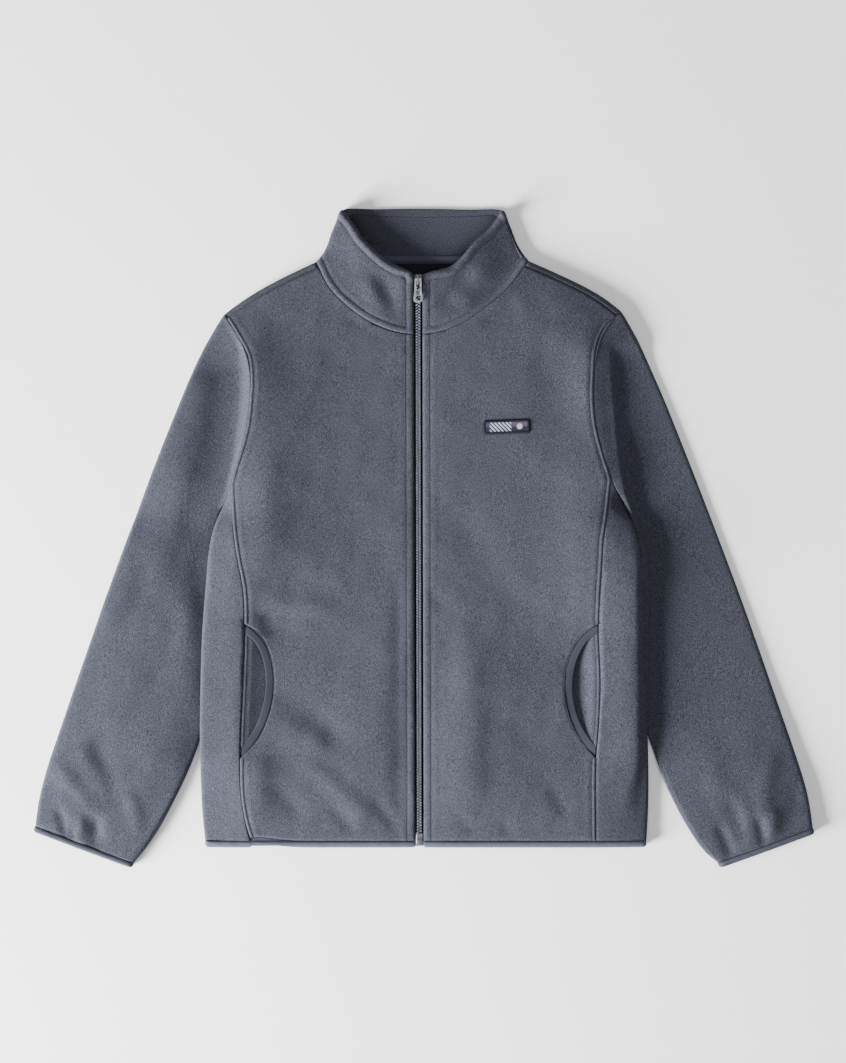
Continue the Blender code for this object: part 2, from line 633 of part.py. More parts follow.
# Sleeves ---------------------------------------------------------------------------------------
# Shares of the outer and of the inner fold at which the sleeve's rows of points end.
SLEEVE_ROWS = [(0, 0), (.12, .050), (.175, .078), (.23, .11), (.285, .15),
               (.34, .20), (.40, .28), (.46, .37), (.52, .46), (.59, .555), (.66, .65),
               (.73, .74), (.80, .82), (.87, .895), (.94, .955), (1, 1)]
CUFF_EASE = 0.78   # share of the outer fold from which the rows straighten towards the cuff
cuff_rows = {}


def hermite(u, start, end, start_way, end_way):
    """Points of the cubic from start to end that leaves and arrives in the given ways."""
    u = np.asarray(u)[:, None]
    return ((1 + 2 * u) * (1 - u) ** 2 * start + u * (1 - u) ** 2 * start_way
            + u * u * (3 - 2 * u) * end + u * u * (u - 1) * end_way)


def inward(points, side, turn):
    """Unit ways square to a fold of the sleeve, into the sleeve."""
    run = np.gradient(points, axis=0)
    run /= np.linalg.norm(run, axis=1)[:, None]
    turn = turn * side.sign
    return np.column_stack([run[:, 1], -run[:, 0]]) * turn


def beside_armhole(side, first, outer_line, beyond, far, near):
    """Row of the sleeve beside its first: far from it at the shoulder, near at the armpit."""
    along = at_lengths(outer_line, [far])[0] - outer_line[0]
    share = side.stations / side.stations[-1]
    row = shifted(first, beyond, far + (near - far) * share)
    mix = smooth((side.stations - FOLD_RADIUS) / 20)[:, None]
    row = (1 - mix) * (first + along) + mix * row
    way = at_lengths(side.inner, [near])[0] - side.armpit
    left_over = side.stations[-1] - side.stations
    for k in np.flatnonzero(left_over <= near * math.pi / 2):
        turn = left_over[k] / near * side.sign
        row[k] = side.armpit + (way[0] * math.cos(turn) - way[1] * math.sin(turn),
                                way[0] * math.sin(turn) + way[1] * math.cos(turn))
    return row


def sleeve(side):
    """Flattened tube from the armhole to the cuff, folded at its outer and inner edges."""
    start = np.argmin(np.linalg.norm(side.outer - side.armhole_points[0], axis=1))
    outer_line = np.vstack([side.armhole_points[:1], side.outer[start + 1:]])
    shares = np.array(SLEEVE_ROWS)
    outer = at_lengths(outer_line, shares[:, 0] * lengths(outer_line)[-1])
    inner = at_lengths(side.inner, shares[:, 1] * lengths(side.inner)[-1])
    beyond = side.armpit + np.array([side.sign * 120, 60])
    first = shifted(side.armhole_points, beyond)
    arm_share = side.stations / side.stations[-1]
    bulge = first - first[0] - np.outer(arm_share, first[-1] - first[0])
    count = len(side.stations)
    rows = []
    for v, outer_point, inner_point, outer_way, inner_way in zip(
            shares[:, 0], outer, inner, inward(outer, side, 1), inward(inner, side, -1)):
        fade = 1 - smooth(v / 0.2)
        chord = np.linalg.norm(inner_point - outer_point)
        width = fade * side.stations[-1] + (1 - fade) * chord
        middle = np.linspace(ARC[-1], width - ARC[-1], count - 2 * len(ARC) + 2)[1:-1]
        even = np.array(ARC + list(middle) + [width - gap for gap in ARC[::-1]]) / width
        u = arm_share + (even - arm_share) * smooth(v * 4)
        curved = np.column_stack([np.interp(u, arm_share, bulge[:, k]) for k in range(2)])
        straight = outer_point + np.outer(u, inner_point - outer_point)
        square = (hermite(u, outer_point, inner_point, outer_way * chord, -inner_way * chord)
                  - straight)
        square *= (1 - fade) * (1 - smooth((v - CUFF_EASE) / (1 - CUFF_EASE)))
        rows.append(straight + fade * curved + square)
    plan = np.array(rows)
    plan[0] = first
    plan = np.insert(plan, 1, [beside_armhole(side, first, outer_line, beyond, *reach)
                               for reach in ((EDGE_STRIP, EDGE_STRIP), SECOND_ROW)], axis=0)
    x, y = plan[..., 0], plan[..., 1]
    above, below = sleeve_height(side, x, y, 1), sleeve_height(side, x, y, -1)
    fold = sleeve_height(side, x, y, 0)
    above[:, [0, -1]] = fold[:, [0, -1]]
    front_half = with_height(plan, above)
    back_half = with_height(plan, below)[:, 1:-1][:, ::-1]
    ring = np.concatenate([front_half, back_half, front_half[:, :1]], axis=1)
    cuff_rows[side.name] = ring[-1]
    add_cloth("sleeve_" + side.name, [ring], WALL, fleece)


for side in SIDES.values():
    sleeve(side)


# Collar ----------------------------------------------------------------------------------------
CUT = np.linspace(0, 1, CELLS_COLLAR + 1)


def collar_relief(x, y, rise):
    return COLLAR_RISE * smooth(rise) + fold_relief(COLLAR_FOLDS, x, y) * smooth(rise * 4)


def across_collar(line, widths_from, reach_cells, v):
    """Points along a collar row: round at the fold, then even to its end."""
    total = lengths(line)[-1]
    first = widths_from / widths_from[-1]
    even = np.array(ARC + list(np.linspace(ARC[-1], total, reach_cells + 1)[1:])) / total
    return at_lengths(line, (first + (even - first) * smooth(v * 2)) * total)


def collar_front_rows(side):
    """Plan rows of one front of the collar, from its side fold to the zip."""
    seam = shifted(side.neck_points, side.collar_edge[len(side.collar_edge) // 2], SEAM_GAP)
    fold = at_lengths(side.collar_side, CUT * lengths(side.collar_side)[-1])
    reach = lengths(side.neck_points)
    fine = np.linspace(0, 1, 61)[:, None]
    seam_line = at_lengths(side.neck, fine[:, 0] * lengths(side.neck)[-1])
    edge_line = at_lengths(side.collar_edge, fine[:, 0] * lengths(side.collar_edge)[-1])
    rows = []
    for v, fold_point in zip(CUT, fold):
        zip_y = NECK_Y + v * (COLLAR_TOP_Y - NECK_Y)
        zip_point = np.array([zip_x(zip_y) + side.sign * ZIP_GAP, zip_y])
        blend = (1 - v) * seam_line + v * edge_line
        line = blend + (1 - fine) * (fold_point - blend[0]) + fine * (zip_point - blend[-1])
        rows.append(across_collar(line, reach, CELLS_NECK + 1, v))
    rows[0] = seam
    rows[0][-1, 0] = zip_x(seam[-1, 1]) + side.sign * ZIP_GAP
    return np.array(rows)


def collar():
    """One strip of double cloth: right front, round the back, left front."""
    back_rows = []
    folds = [at_lengths(side.collar_side, CUT * lengths(side.collar_side)[-1])
             for side in (right, left)]
    reach = lengths(BACK_NECK)
    for v, start, end in zip(CUT, *folds):
        fine = np.linspace(0, 1, 41)[:, None]
        line = start + fine * (end - start)
        crown = v * (COLLAR_BACK_TOP - (start[1] + end[1]) / 2) - (1 - v) * BACK_NECK_SAG
        line[:, 1] += crown * np.sin(math.pi * fine[:, 0]) ** (1 - 0.5 * v)
        total = lengths(line)[-1]
        near = np.array(ARC)
        between = np.linspace(ARC[-1], total - ARC[-1], CELLS_BACK_NECK + 1)[1:-1]
        even = np.concatenate([near, between, total - near[::-1]])
        mixed = reach / reach[-1] * total * (1 - smooth(v * 2)) + even * smooth(v * 2)
        back_rows.append(at_lengths(line, mixed))
    back = np.array(back_rows)
    back[0] = BACK_NECK + (0, 1.5 * SEAM_GAP)
    rise = CUT[:, None]
    fronts = {}
    for side in (right, left):
        plan = collar_front_rows(side)
        plan[:, 0] = back[:, 0] if side is right else back[:, -1]
        x, y = plan[..., 0], plan[..., 1]
        lift = collar_relief(x, y, rise)
        height = body_height(x, y, 1)
        height[:, 0] = body_height(x[:, 0], y[:, 0], 0)
        share = np.ones_like(x)
        share[:, 0] = 0.5
        fronts[side.name] = with_height(plan, height + lift * share)
    under = with_height(back, body_height(back[..., 0], back[..., 1], -1))
    under[:, 0, 2] = fronts["right"][:, 0, 2]
    under[:, -1, 2] = fronts["left"][:, 0, 2]
    strip = np.concatenate([fronts["right"][:, ::-1], under[:, 1:-1], fronts["left"]], axis=1)
    add_cloth("collar", [strip], COLLAR_WALL, fleece)


collar()

# Neck tape -------------------------------------------------------------------------------------
TAPE_BAND = 7.0
TAPE_ENDS = (-100, 97)
TAPE_UP = 1.0              # lower edge of the tape above the back neck seam
TAPE_FACE = COLLAR_WALL + 1.1
NECK_TAPE_WALL = 0.8
tape_x = np.linspace(*TAPE_ENDS, 11)
tape_rows = []
for rise in (TAPE_UP, TAPE_UP + TAPE_BAND):
    seam_y = np.interp(tape_x, BACK_NECK[:, 0], BACK_NECK[:, 1])
    tape_rows.append(np.column_stack([tape_x, seam_y + rise, np.full(len(tape_x), TAPE_FACE)]))
trim = material("binding", SLATE_TRIM, 0.8)
add_cloth("neck_tape", [np.array(tape_rows)], NECK_TAPE_WALL, trim, facing="up")


# Hem binding -----------------------------------------------------------------------------------

def ring_along(rows, first, last):
    """Two rows of binding beyond the end row of the cloth, first and last away from it."""
    return np.array([rows + first, rows + last])


hem_ring = np.vstack([hem_rows["front_right"][::-1], hem_rows["side_right"],
                      hem_rows["back"], hem_rows["side_left"][::-1], hem_rows["front_left"]])
keep = np.ones(len(hem_ring), bool)
keep[1:] = np.linalg.norm(np.diff(hem_ring, axis=0), axis=1) > 1.0
hem_ring = hem_ring[keep]
add_cloth("hem_binding",
          [ring_along(hem_ring, np.array([0, -SEAM_GAP, 0]), np.array([0, -HEM_WIDTH, 0]))],
          BINDING_WALL, trim)

# Cuff bindings ---------------------------------------------------------------------------------
for side in SIDES.values():
    ring = cuff_rows[side.name]
    across = side.inner[-1] - side.outer[-1]
    down = np.array([across[1], -across[0]]) / np.linalg.norm(across)
    down = down if down[1] < 0 else -down
    first, last = np.append(down * SEAM_GAP, 0), np.append(down * CUFF_WIDTH, 0)
    rows = ring_along(ring, first, last)
    add_cloth("cuff_binding_" + side.name, [rows], BINDING_WALL, trim)


# Pockets ---------------------------------------------------------------------------------------
FACING_REACH = (-9.0, 6.0, 20.0, 34.0, 62.0)   # columns, measured in from the side-panel seam
FACING_GAP = 0.7
POCKET_DEPTH = 4.3


def pocket(side):
    """Curved binding of the mouth, and the facing of fleece that shows inside it."""
    edge = evenly(side.pocket, CELLS_POCKET)
    outside = np.array([side.sign * 300, side.pocket[0, 1] / 2 + side.pocket[-1, 1] / 2])
    columns = [shifted(edge, outside, reach)
               for reach in (1.5 * SEAM_GAP, BINDING_WIDTH / 2, BINDING_WIDTH)]
    plan = np.array(columns)
    for row in plan:
        for end, beside in ((0, 1), (-1, -2)):
            run = row[beside] - row[end]
            steps = row[end] + np.linspace(0, 1, 200)[:, None] * run
            room = np.array([side.sign * (side.seam_x(y) - x) for x, y in steps])
            row[end] = steps[np.argmax(room > SEAM_ROOM)]
    height = body_height(plan[..., 0], plan[..., 1], 1)
    height[1] += 0.2
    add_cloth("pocket_binding_" + side.name, [with_height(plan, height)], MOUTH_WALL, trim)
    low, high = POCKET_SPAN
    facing_y = np.linspace(low + 4, high - 4, 9)
    reach = np.array(FACING_REACH)
    x = np.array([[side.seam_x(y) - side.sign * step for step in reach] for y in facing_y])
    y = np.repeat(facing_y[:, None], len(reach), axis=1)
    drop = WALL + FACING_GAP + POCKET_DEPTH * smooth((reach - 2) / 22)
    add_cloth("pocket_facing_" + side.name,
              [np.stack([x, y, body_height(x, y, 1) - drop], axis=-1)], FACING_WALL, fleece)


for side in SIDES.values():
    pocket(side)

# Zip -------------------------------------------------------------------------------------------
SLIDER_LOW, SLIDER_HIGH = 299.0, 313.6
CHAIN_TOP = 309.8
BOX_TOP, BOX_LOW = -352.6, -366.2
zip_y = np.linspace(BOX_TOP + 0.4, CHAIN_TOP, CELLS_ZIP + 1)


def zip_height(y):
    """Height of the cloth beside the zip."""
    y = np.asarray(y, float)
    beside = body_height(zip_x(y) + ZIP_GAP + 1, y, 1)
    return beside + COLLAR_RISE * smooth((y - NECK_Y) / (COLLAR_TOP_Y - NECK_Y))


tape_cloth = material("zip tape", INK, 0.85)
coil = material("zip coil", (0.2, 0.21, 0.24, 1.0), 0.5)
steel = material("zip metal", STEEL, 0.3, 0.9)
zip_z = zip_height(zip_y)
for side in SIDES.values():
    inner = zip_x(zip_y) + side.sign * SEAM_GAP / 2
    outer = zip_x(zip_y) + side.sign * (ZIP_GAP - SEAM_GAP)
    rows = [np.column_stack([x, zip_y, zip_z - TAPE_DROP]) for x in (inner, outer)]
    add_cloth("zip_tape_" + side.name, [np.array(rows)], TAPE_WALL, tape_cloth, facing="up")
chain_z = zip_z - TAPE_DROP + SEAM_GAP + CHAIN_WALL
rows = [np.column_stack([zip_x(zip_y) + reach, zip_y, chain_z])
        for reach in (-CHAIN_HALF, CHAIN_HALF)]
add_cloth("zip_chain", [np.array(rows)], CHAIN_WALL, coil, facing="up")
foot_x, foot_z = zip_x(BOX_LOW), float(zip_height(BOX_TOP))
add_box("zip_box", (foot_x - 3.8, BOX_LOW, foot_z - 4.2), (foot_x + 3.8, BOX_TOP, foot_z + 0.4),
        steel, bevel=0.6)

# Slider and pull tab -----------------------------------------------------------------------------
SLIDER_HALF = 4.2
PLATE = 1.2
BAIL_HALF = 0.9
HINGE_Y = 307.6
slider_x = float(zip_x(306))
cloth_z = float(zip_height(304))
plate_z = cloth_z + 0.4           # underside of the slider's upper plate
HINGE_Z = cloth_z + 3.25


def slider():
    """Two plates joined by a post in front of the chain, with the bail over the upper one."""
    mesh = bmesh.new()
    y0, y1 = SLIDER_LOW, SLIDER_HIGH
    profile_yz = [(y0, plate_z), (CHAIN_TOP + 0.6, plate_z), (CHAIN_TOP + 0.6, cloth_z - 4.0),
                  (y0, cloth_z - 4.0), (y0, cloth_z - 4.0 - PLATE), (y1, cloth_z - 4.0 - PLATE),
                  (y1, plate_z + PLATE), (y0, plate_z + PLATE)]
    corners = [mesh.verts.new((slider_x * MM - SLIDER_HALF * MM, y * MM, z * MM))
               for y, z in profile_yz]
    face = mesh.faces.new(corners)
    made = bmesh.ops.extrude_face_region(mesh, geom=[face])
    moved = [item for item in made["geom"] if isinstance(item, bmesh.types.BMVert)]
    bmesh.ops.translate(mesh, verts=moved, vec=(2 * SLIDER_HALF * MM, 0, 0))
    bmesh.ops.recalc_face_normals(mesh, faces=mesh.faces)
    body = add_object("zip_slider", mesh, steel)
    arch = bmesh.new()
    outer, inner = [], []
    for step in range(9):
        angle = math.pi * step / 8
        lean = math.cos(angle)
        rise = math.sin(angle) ** 0.6 if 0 < step < 8 else 0.0
        outer.append((HINGE_Y - 0.9 + 5.9 * lean, plate_z + PLATE - 0.3 + 4.9 * rise))
        inner.append((HINGE_Y - 0.9 + 4.8 * lean, plate_z + PLATE - 0.3 + 4.0 * rise))
    ring = [arch.verts.new(((slider_x - BAIL_HALF) * MM, y * MM, z * MM))
            for y, z in outer + inner[::-1]]
    face = arch.faces.new(ring)
    made = bmesh.ops.extrude_face_region(arch, geom=[face])
    moved = [item for item in made["geom"] if isinstance(item, bmesh.types.BMVert)]
    bmesh.ops.translate(arch, verts=moved, vec=(2 * BAIL_HALF * MM, 0, 0))
    bmesh.ops.recalc_face_normals(arch, faces=arch.faces)
    cutter = add_object("bail", arch, steel)
    PARTS.objects.unlink(cutter)
    CUTTERS.objects.link(cutter)
    cutter.hide_render = True
    cutter.display_type = "WIRE"
    joined = body.modifiers.new("bail", "BOOLEAN")
    joined.operation = "UNION"
    joined.object = cutter


slider()

TAB_TILT = math.radians(3.5)
TAB_WALL = 1.2
# Half outline of the tab: along is the distance from the hinge, half the half width.
TAB_OUTLINE = [(-1.2, 3.4), (-0.5, 4.2), (4.0, 4.1), (12.0, 4.3), (17.0, 4.9), (22.0, 5.5),
               (25.0, 5.2), (27.0, 3.6), (27.9, 1.5)]
SLOT = (1.1, 12.2, 2.05)          # start, end and half width of the slot for the bail
HOLE = (19.4, 25.0, 3.0)


def rounded(start, end, half, corner=1.2, steps=3):
    """Outline of a rectangle with round corners, along and across the tab."""
    points = []
    for along, across, first in ((end - corner, half - corner, 0),
                                 (start + corner, half - corner, 1),
                                 (start + corner, corner - half, 2),
                                 (end - corner, corner - half, 3)):
        for step in range(steps + 1):
            angle = math.pi / 2 * (first + step / steps)
            points.append((along + corner * math.cos(angle), across + corner * math.sin(angle)))
    return points


def pull_tab():
    """Flat metal tab with a slot round the bail and a hole near its end."""
    curve = bpy.data.curves.new("zip_pull_tab", "CURVE")
    curve.dimensions = "2D"
    curve.fill_mode = "BOTH"
    curve.extrude = TAB_WALL / 2 * MM
    loops = [TAB_OUTLINE + [(along, -half) for along, half in TAB_OUTLINE[::-1]],
             rounded(*SLOT, corner=0.6, steps=2), rounded(*HOLE)]
    for loop in loops:
        line = curve.splines.new("POLY")
        line.points.add(len(loop) - 1)
        line.use_cyclic_u = True
        for point, (along, across) in zip(line.points, loop):
            point.co = (across * MM, -along * MM, 0, 1)
    shape = bpy.data.objects.new("tab shape", curve)
    PARTS.objects.link(shape)
    graph = bpy.context.evaluated_depsgraph_get()
    data = bpy.data.meshes.new_from_object(shape.evaluated_get(graph))
    bpy.data.objects.remove(shape)
    mesh = bmesh.new()
    mesh.from_mesh(data)
    bmesh.ops.remove_doubles(mesh, verts=mesh.verts, dist=0.02 * MM)
    tab = add_object("zip_pull_tab", mesh, steel)
    tab.location = (slider_x * MM, HINGE_Y * MM, HINGE_Z * MM)
    tab.rotation_euler = (TAB_TILT, 0, 0)


pull_tab()

# Chest label -----------------------------------------------------------------------------------
LABEL_CENTRE = (98.4, 132.5)
LABEL_SIZE = (56.5, 17.5)
LABEL_TURN = math.radians(2)
LABEL_WALL = 0.9
label_u, label_v = np.meshgrid(np.linspace(-0.5, 0.5, 9), np.linspace(-0.5, 0.5, 4))
run, rise = label_u * LABEL_SIZE[0], label_v * LABEL_SIZE[1]
label_x = LABEL_CENTRE[0] + run * math.cos(LABEL_TURN) - rise * math.sin(LABEL_TURN)
label_y = LABEL_CENTRE[1] + run * math.sin(LABEL_TURN) + rise * math.cos(LABEL_TURN)
label_z = body_height(label_x, label_y, 1) + SEAM_GAP + 0.1 + LABEL_WALL
add_cloth("chest_label", [np.stack([label_x, label_y, label_z], axis=-1)], LABEL_WALL,
          material("label", LABEL_BLUE, 0.7), facing="up")
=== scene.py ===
"""Fleece zip jacket, laid flat: the finish of its cloth, its sewing, zip and label."""
import math

import bmesh
import bpy
import numpy as np
from mathutils import Matrix, Vector
from mathutils.bvhtree import BVHTree


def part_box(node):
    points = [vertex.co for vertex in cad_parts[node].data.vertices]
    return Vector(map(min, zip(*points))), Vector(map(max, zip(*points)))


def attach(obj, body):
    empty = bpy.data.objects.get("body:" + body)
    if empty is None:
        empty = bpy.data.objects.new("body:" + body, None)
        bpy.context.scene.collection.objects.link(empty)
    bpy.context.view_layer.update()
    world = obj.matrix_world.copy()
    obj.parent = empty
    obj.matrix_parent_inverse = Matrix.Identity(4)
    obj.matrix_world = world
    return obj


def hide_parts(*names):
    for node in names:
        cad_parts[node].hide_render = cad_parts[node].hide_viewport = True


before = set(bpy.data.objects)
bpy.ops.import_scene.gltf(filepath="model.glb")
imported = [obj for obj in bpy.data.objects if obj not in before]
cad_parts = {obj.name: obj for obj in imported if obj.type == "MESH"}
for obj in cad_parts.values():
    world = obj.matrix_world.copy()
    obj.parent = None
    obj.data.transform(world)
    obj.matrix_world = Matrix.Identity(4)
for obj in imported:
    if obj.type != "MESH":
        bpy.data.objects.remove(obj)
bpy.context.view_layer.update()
MM = 0.001


# Front panels ----------------------------------------------------------------------------------
# Two fronts of brushed fleece, cut from the zip to the side-panel seam, the armhole and the neck,
# and cut away along the pocket mouth. Their turned edges are puffed beside each row of topstitch.

SIGN = {"right": -1.0, "left": 1.0}
# y and out from the middle, in millimetres, of the seams that the panels share on each side.
SIDE_SEAM = {
    "right": [(-361.5, 206.5), (-335, 213.5), (-310, 217.5), (-262, 218.6), (-228, 217.8),
              (-178, 215.6), (-102, 213.4), (-62, 214.6), (-26, 221.2), (-2, 225.0), (25, 228.0),
              (64, 230.2)],
    "left": [(-361.5, 205.3), (-335, 205.0), (-289, 204.6), (-262, 205.2), (-228, 208.0),
             (-178, 210.2), (-102, 208.0), (-62, 209.3), (-26, 211.5), (-2, 213.0), (25, 217.5),
             (70.8, 222.6)],
}
ARMHOLE = {
    "right": [(38, 240.4), (64, 230.2), (82, 225.4), (101, 219.0), (132, 210.6), (163, 207.0),
              (190, 205.8), (215, 208.7), (240, 221.4), (268, 239.0)],
    "left": [(39.6, 240.1), (70.8, 222.6), (77, 220.6), (106, 211.8), (137, 204.4), (169, 201.8),
             (194, 202.6), (226, 205.4), (250, 215.0), (271, 236.5)],
}
SHOULDER_FOLD = {
    "right": [(331.0, 129.0), (317, 159.0), (297.6, 196.2), (282, 221.0), (268, 239.0)],
    "left": [(332.0, 125.4), (320.9, 150.6), (308.4, 178.2), (294, 205.8), (271, 236.5)],
}
NECK_SEAM = {
    "right": [(331.0, 129.0), (300, 113.4), (272.4, 85.8), (252, 51.4), (244.2, 23.9),
              (243.6, 11.7)],
    "left": [(332.0, 125.4), (300, 102.6), (279.6, 79.4), (253.2, 38.2), (244.4, 10.0),
             (243.6, -1.7)],
}
POCKET_MOUTH = {
    "right": [(-262, 218.6), (-240, 197.5), (-211, 184.7), (-182, 178.6), (-158, 178.8),
              (-132.6, 185.0), (-112, 197.5), (-102, 213.4)],
    "left": [(-262, 205.2), (-244, 188.5), (-221.5, 175.4), (-194.4, 168.1), (-165.6, 167.2),
             (-134.4, 175.4), (-111.6, 190.5), (-102, 208.0)],
}
SHOULDER_INSET = 7.5
HEM_Y, ZIP_TOP_Y = -361.5, 313.8
POCKET_FOOT_Y, POCKET_HEAD_Y = -262.0, -102.0
ZIP_GAP = 5.0


def zip_x(y):
    """The zip's centre line."""
    return -5.4 - 1.7 * (y - HEM_Y) / (ZIP_TOP_Y - HEM_Y)


def curve_through(points, step=2.0):
    """A smooth line through the points, closely sampled."""
    points = np.array(points, float)
    gaps = np.linalg.norm(np.diff(points, axis=0), axis=1)
    slopes = np.diff(points, axis=0) / gaps[:, None]
    weights = (gaps[1:] + gaps[:-1])[:, None]
    middle = (slopes[:-1] * gaps[1:, None] + slopes[1:] * gaps[:-1, None]) / weights
    ways = np.vstack([slopes[:1], middle, slopes[-1:]])
    line = []
    for k, gap in enumerate(gaps):
        t = np.linspace(0, 1, max(2, int(gap / step)), endpoint=False)[:, None]
        line.append((1 + 2 * t) * (1 - t) ** 2 * points[k] + t * (1 - t) ** 2 * gap * ways[k]
                    + t * t * (3 - 2 * t) * points[k + 1] + t * t * (t - 1) * gap * ways[k + 1])
    return np.vstack(line + [points[-1:]])


def seam_line(table, side):
    return curve_through([(SIGN[side] * out, y) for y, out in table[side]])


def beside(line, amount):
    """The line moved sideways by amount: positive is to its left as it runs."""
    run = np.gradient(line, axis=0)
    run /= np.linalg.norm(run, axis=1)[:, None]
    return line + np.column_stack([-run[:, 1], run[:, 0]]) * amount


def nearest(line, x, y):
    """Distance in the plan from each x, y to the line, the way there, and how far along it is."""
    best, way_x, way_y, station = (np.full(len(x), start) for start in (1e9, 0.0, 0.0, 0.0))
    walked = 0.0
    for first, way in zip(line[:-1], np.diff(line, axis=0)):
        share = ((x - first[0]) * way[0] + (y - first[1]) * way[1]) / (way @ way)
        share = np.clip(share, 0, 1)
        step_x, step_y = first[0] + share * way[0] - x, first[1] + share * way[1] - y
        gap, length = np.hypot(step_x, step_y), np.hypot(*way)
        nearer = gap < best
        for held, value in ((best, gap), (way_x, step_x), (way_y, step_y),
                            (station, walked + share * length)):
            held[nearer] = value[nearer]
        walked += length
    return best, way_x, way_y, station


def distance(line, x, y):
    return nearest(line, x, y)[0]


# Seams are closed station by station, a little past each other, and by no more than this.
STATION, LAP, MOST_MOVE = 6.0, 0.12, 1.6


def close_up(points, line, most=3.0, spread=5.0):
    """Moves a piece's edge, and the cloth beside it, over to the seam line that it is sewn on."""
    gap, way_x, way_y, station = nearest(line, *points[:, :2].T)
    places = (station / STATION).astype(int)
    open_by = np.full(places.max() + 1, most)
    np.minimum.at(open_by, places, gap)
    open_by[open_by >= most] = 0
    move = np.interp(station, (np.arange(len(open_by)) + 0.5) * STATION, open_by) + LAP
    move *= np.exp(-(np.maximum(gap - move, 0) / spread) ** 2) / np.maximum(gap, 0.05)
    move = np.minimum(move, MOST_MOVE)
    points[:, 0] += move * way_x
    points[:, 1] += move * way_y


def soft(t):
    t = np.clip(t, 0, 1)
    return t * t * (3 - 2 * t)


def ripple(x, y, size, seed):
    """Even random waves of about this size, from -1 to 1."""
    chance = np.random.default_rng(seed)
    total = np.zeros(len(x))
    for _ in range(9):
        turn, phase = chance.uniform(0, 2 * math.pi, 2)
        wave = 2 * math.pi / (size * chance.uniform(0.75, 1.5))
        total += np.sin(wave * (x * math.cos(turn) + y * math.sin(turn)) + phase)
    return total / 4.0


# Creases that the cloth took as it was laid out: a trough or ridge, bowed between two points.
CREASE_COLUMNS = ("x0", "y0", "x1", "y1", "bow", "half_width", "rise")
CREASES = [
    (-192, 280, -190, -92, 4, 60, 9.5),
    (-196, -74, -96, -92, 3, 12, 1.6), (-150, -54, -96, -64, 3, 12, -0.6),
    (-190, -84, -184, -118, 0, 10, -1.8), (-92, -130, -66, -330, 8, 40, 2.0),
    (-30, -40, -29, -200, 0, 9, -1.2), (-30, -160, -28, -352, 0, 13, -1.4),
    (-196, -192, -112, -250, -8, 19, 1.1), (-122, -200, -84, -290, -6, 14, -1.0),
    (-150, -224, -70, -300, 4, 13, 1.3), (-150, -262, -60, -344, 6, 12, 1.7),
    (-190, -286, -140, -346, 4, 12, -1.4), (-197, -256, -198, -356, 0, 19, 3.2),
    (-116, -316, -80, -352, 0, 9, -1.5), (-60, -310, -30, -352, 0, 7, -1.3),
    (-100, 268, -40, 240, 6, 16, -1.2), (60, 262, 116, 284, -6, 18, -1.6),
    (198, 254, 196, 108, 2, 18, 3.0), (150, 252, 160, 120, -6, 26, -1.4),
    (218, 140, 210, -118, 4, 62, 7.6), (50, -96, 52, -352, 2, 24, 4.2),
    (96, -110, 100, -352, 2, 50, 4.0), (0, -58, 30, -84, 0, 12, -1.4),
    (24, 30, 90, -50, 6, 22, -1.2), (60, -26, 140, -110, -6, 24, -0.9),
    (150, -130, 162, -300, 10, 24, 1.2), (178, -334, 150, -292, 4, 10, -1.2),
    (40, -330, 60, -354, 0, 9, -0.9), (96, -338, 104, -356, 0, 7, -1.0),
    (252, 40, 252, -352, 0, 28, 5.6),
]


def creases(rows, x, y):
    """Height that the rows of creases add at each x, y."""
    total = np.zeros(len(x))
    for row in rows:
        fold = dict(zip(CREASE_COLUMNS, row))
        start = np.array([fold["x0"], fold["y0"]], float)
        run = np.array([fold["x1"], fold["y1"]], float) - start
        length = np.hypot(*run)
        along = ((x - start[0]) * run[0] + (y - start[1]) * run[1]) / length ** 2
        across = ((y - start[1]) * run[0] - (x - start[0]) * run[1]) / length
        near = np.clip(along, 0, 1)
        across = across - fold["bow"] * 4 * near * (1 - near)
        beyond = (along - near) * length
        taper = soft(near / 0.35 + 0.15) * soft((1 - near) / 0.35 + 0.15)
        gap = np.hypot(across, beyond) / fold["half_width"]
        total += fold["rise"] * taper * np.exp(-gap ** 2)
    return total


def placed(mesh, name):
    """A piece of the scene made from the mesh, with smooth shading."""
    data = bpy.data.meshes.new(name)
    mesh.to_mesh(data)
    mesh.free()
    data.shade_smooth()
    piece = bpy.data.objects.new(name, data)
    bpy.context.scene.collection.objects.link(piece)
    return piece


# From these angles an edge counts as cut. The short edges are those across a wall's rim.
SHORT_EDGE, SHORT_EDGE_LIMIT, EDGE_LIMIT = 3.3, 34, 58


def fine_copy(node, levels, sharp=1.0):
    """A finely divided copy of a solid: its wall, with the cut edges kept sharp."""
    mesh = bmesh.new()
    mesh.from_mesh(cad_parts[node].data)
    bmesh.ops.remove_doubles(mesh, verts=mesh.verts, dist=0.02 * MM)
    bmesh.ops.join_triangles(mesh, faces=mesh.faces, angle_face_threshold=math.radians(50),
                             angle_shape_threshold=math.radians(80))
    keep = mesh.edges.layers.float.new("crease_edge")
    for edge in mesh.edges:
        limit = SHORT_EDGE_LIMIT if edge.calc_length() < SHORT_EDGE * MM else EDGE_LIMIT
        if edge.calc_face_angle() > math.radians(limit):
            edge[keep] = sharp
    piece = placed(mesh, node + "_fine")
    coarse = piece.data
    divide = piece.modifiers.new("fine", "SUBSURF")
    divide.levels = divide.render_levels = levels
    graph = bpy.context.evaluated_depsgraph_get()
    piece.data = bpy.data.meshes.new_from_object(piece.evaluated_get(graph))
    piece.modifiers.clear()
    bpy.data.meshes.remove(coarse)
    piece.data.shade_smooth()
    return piece


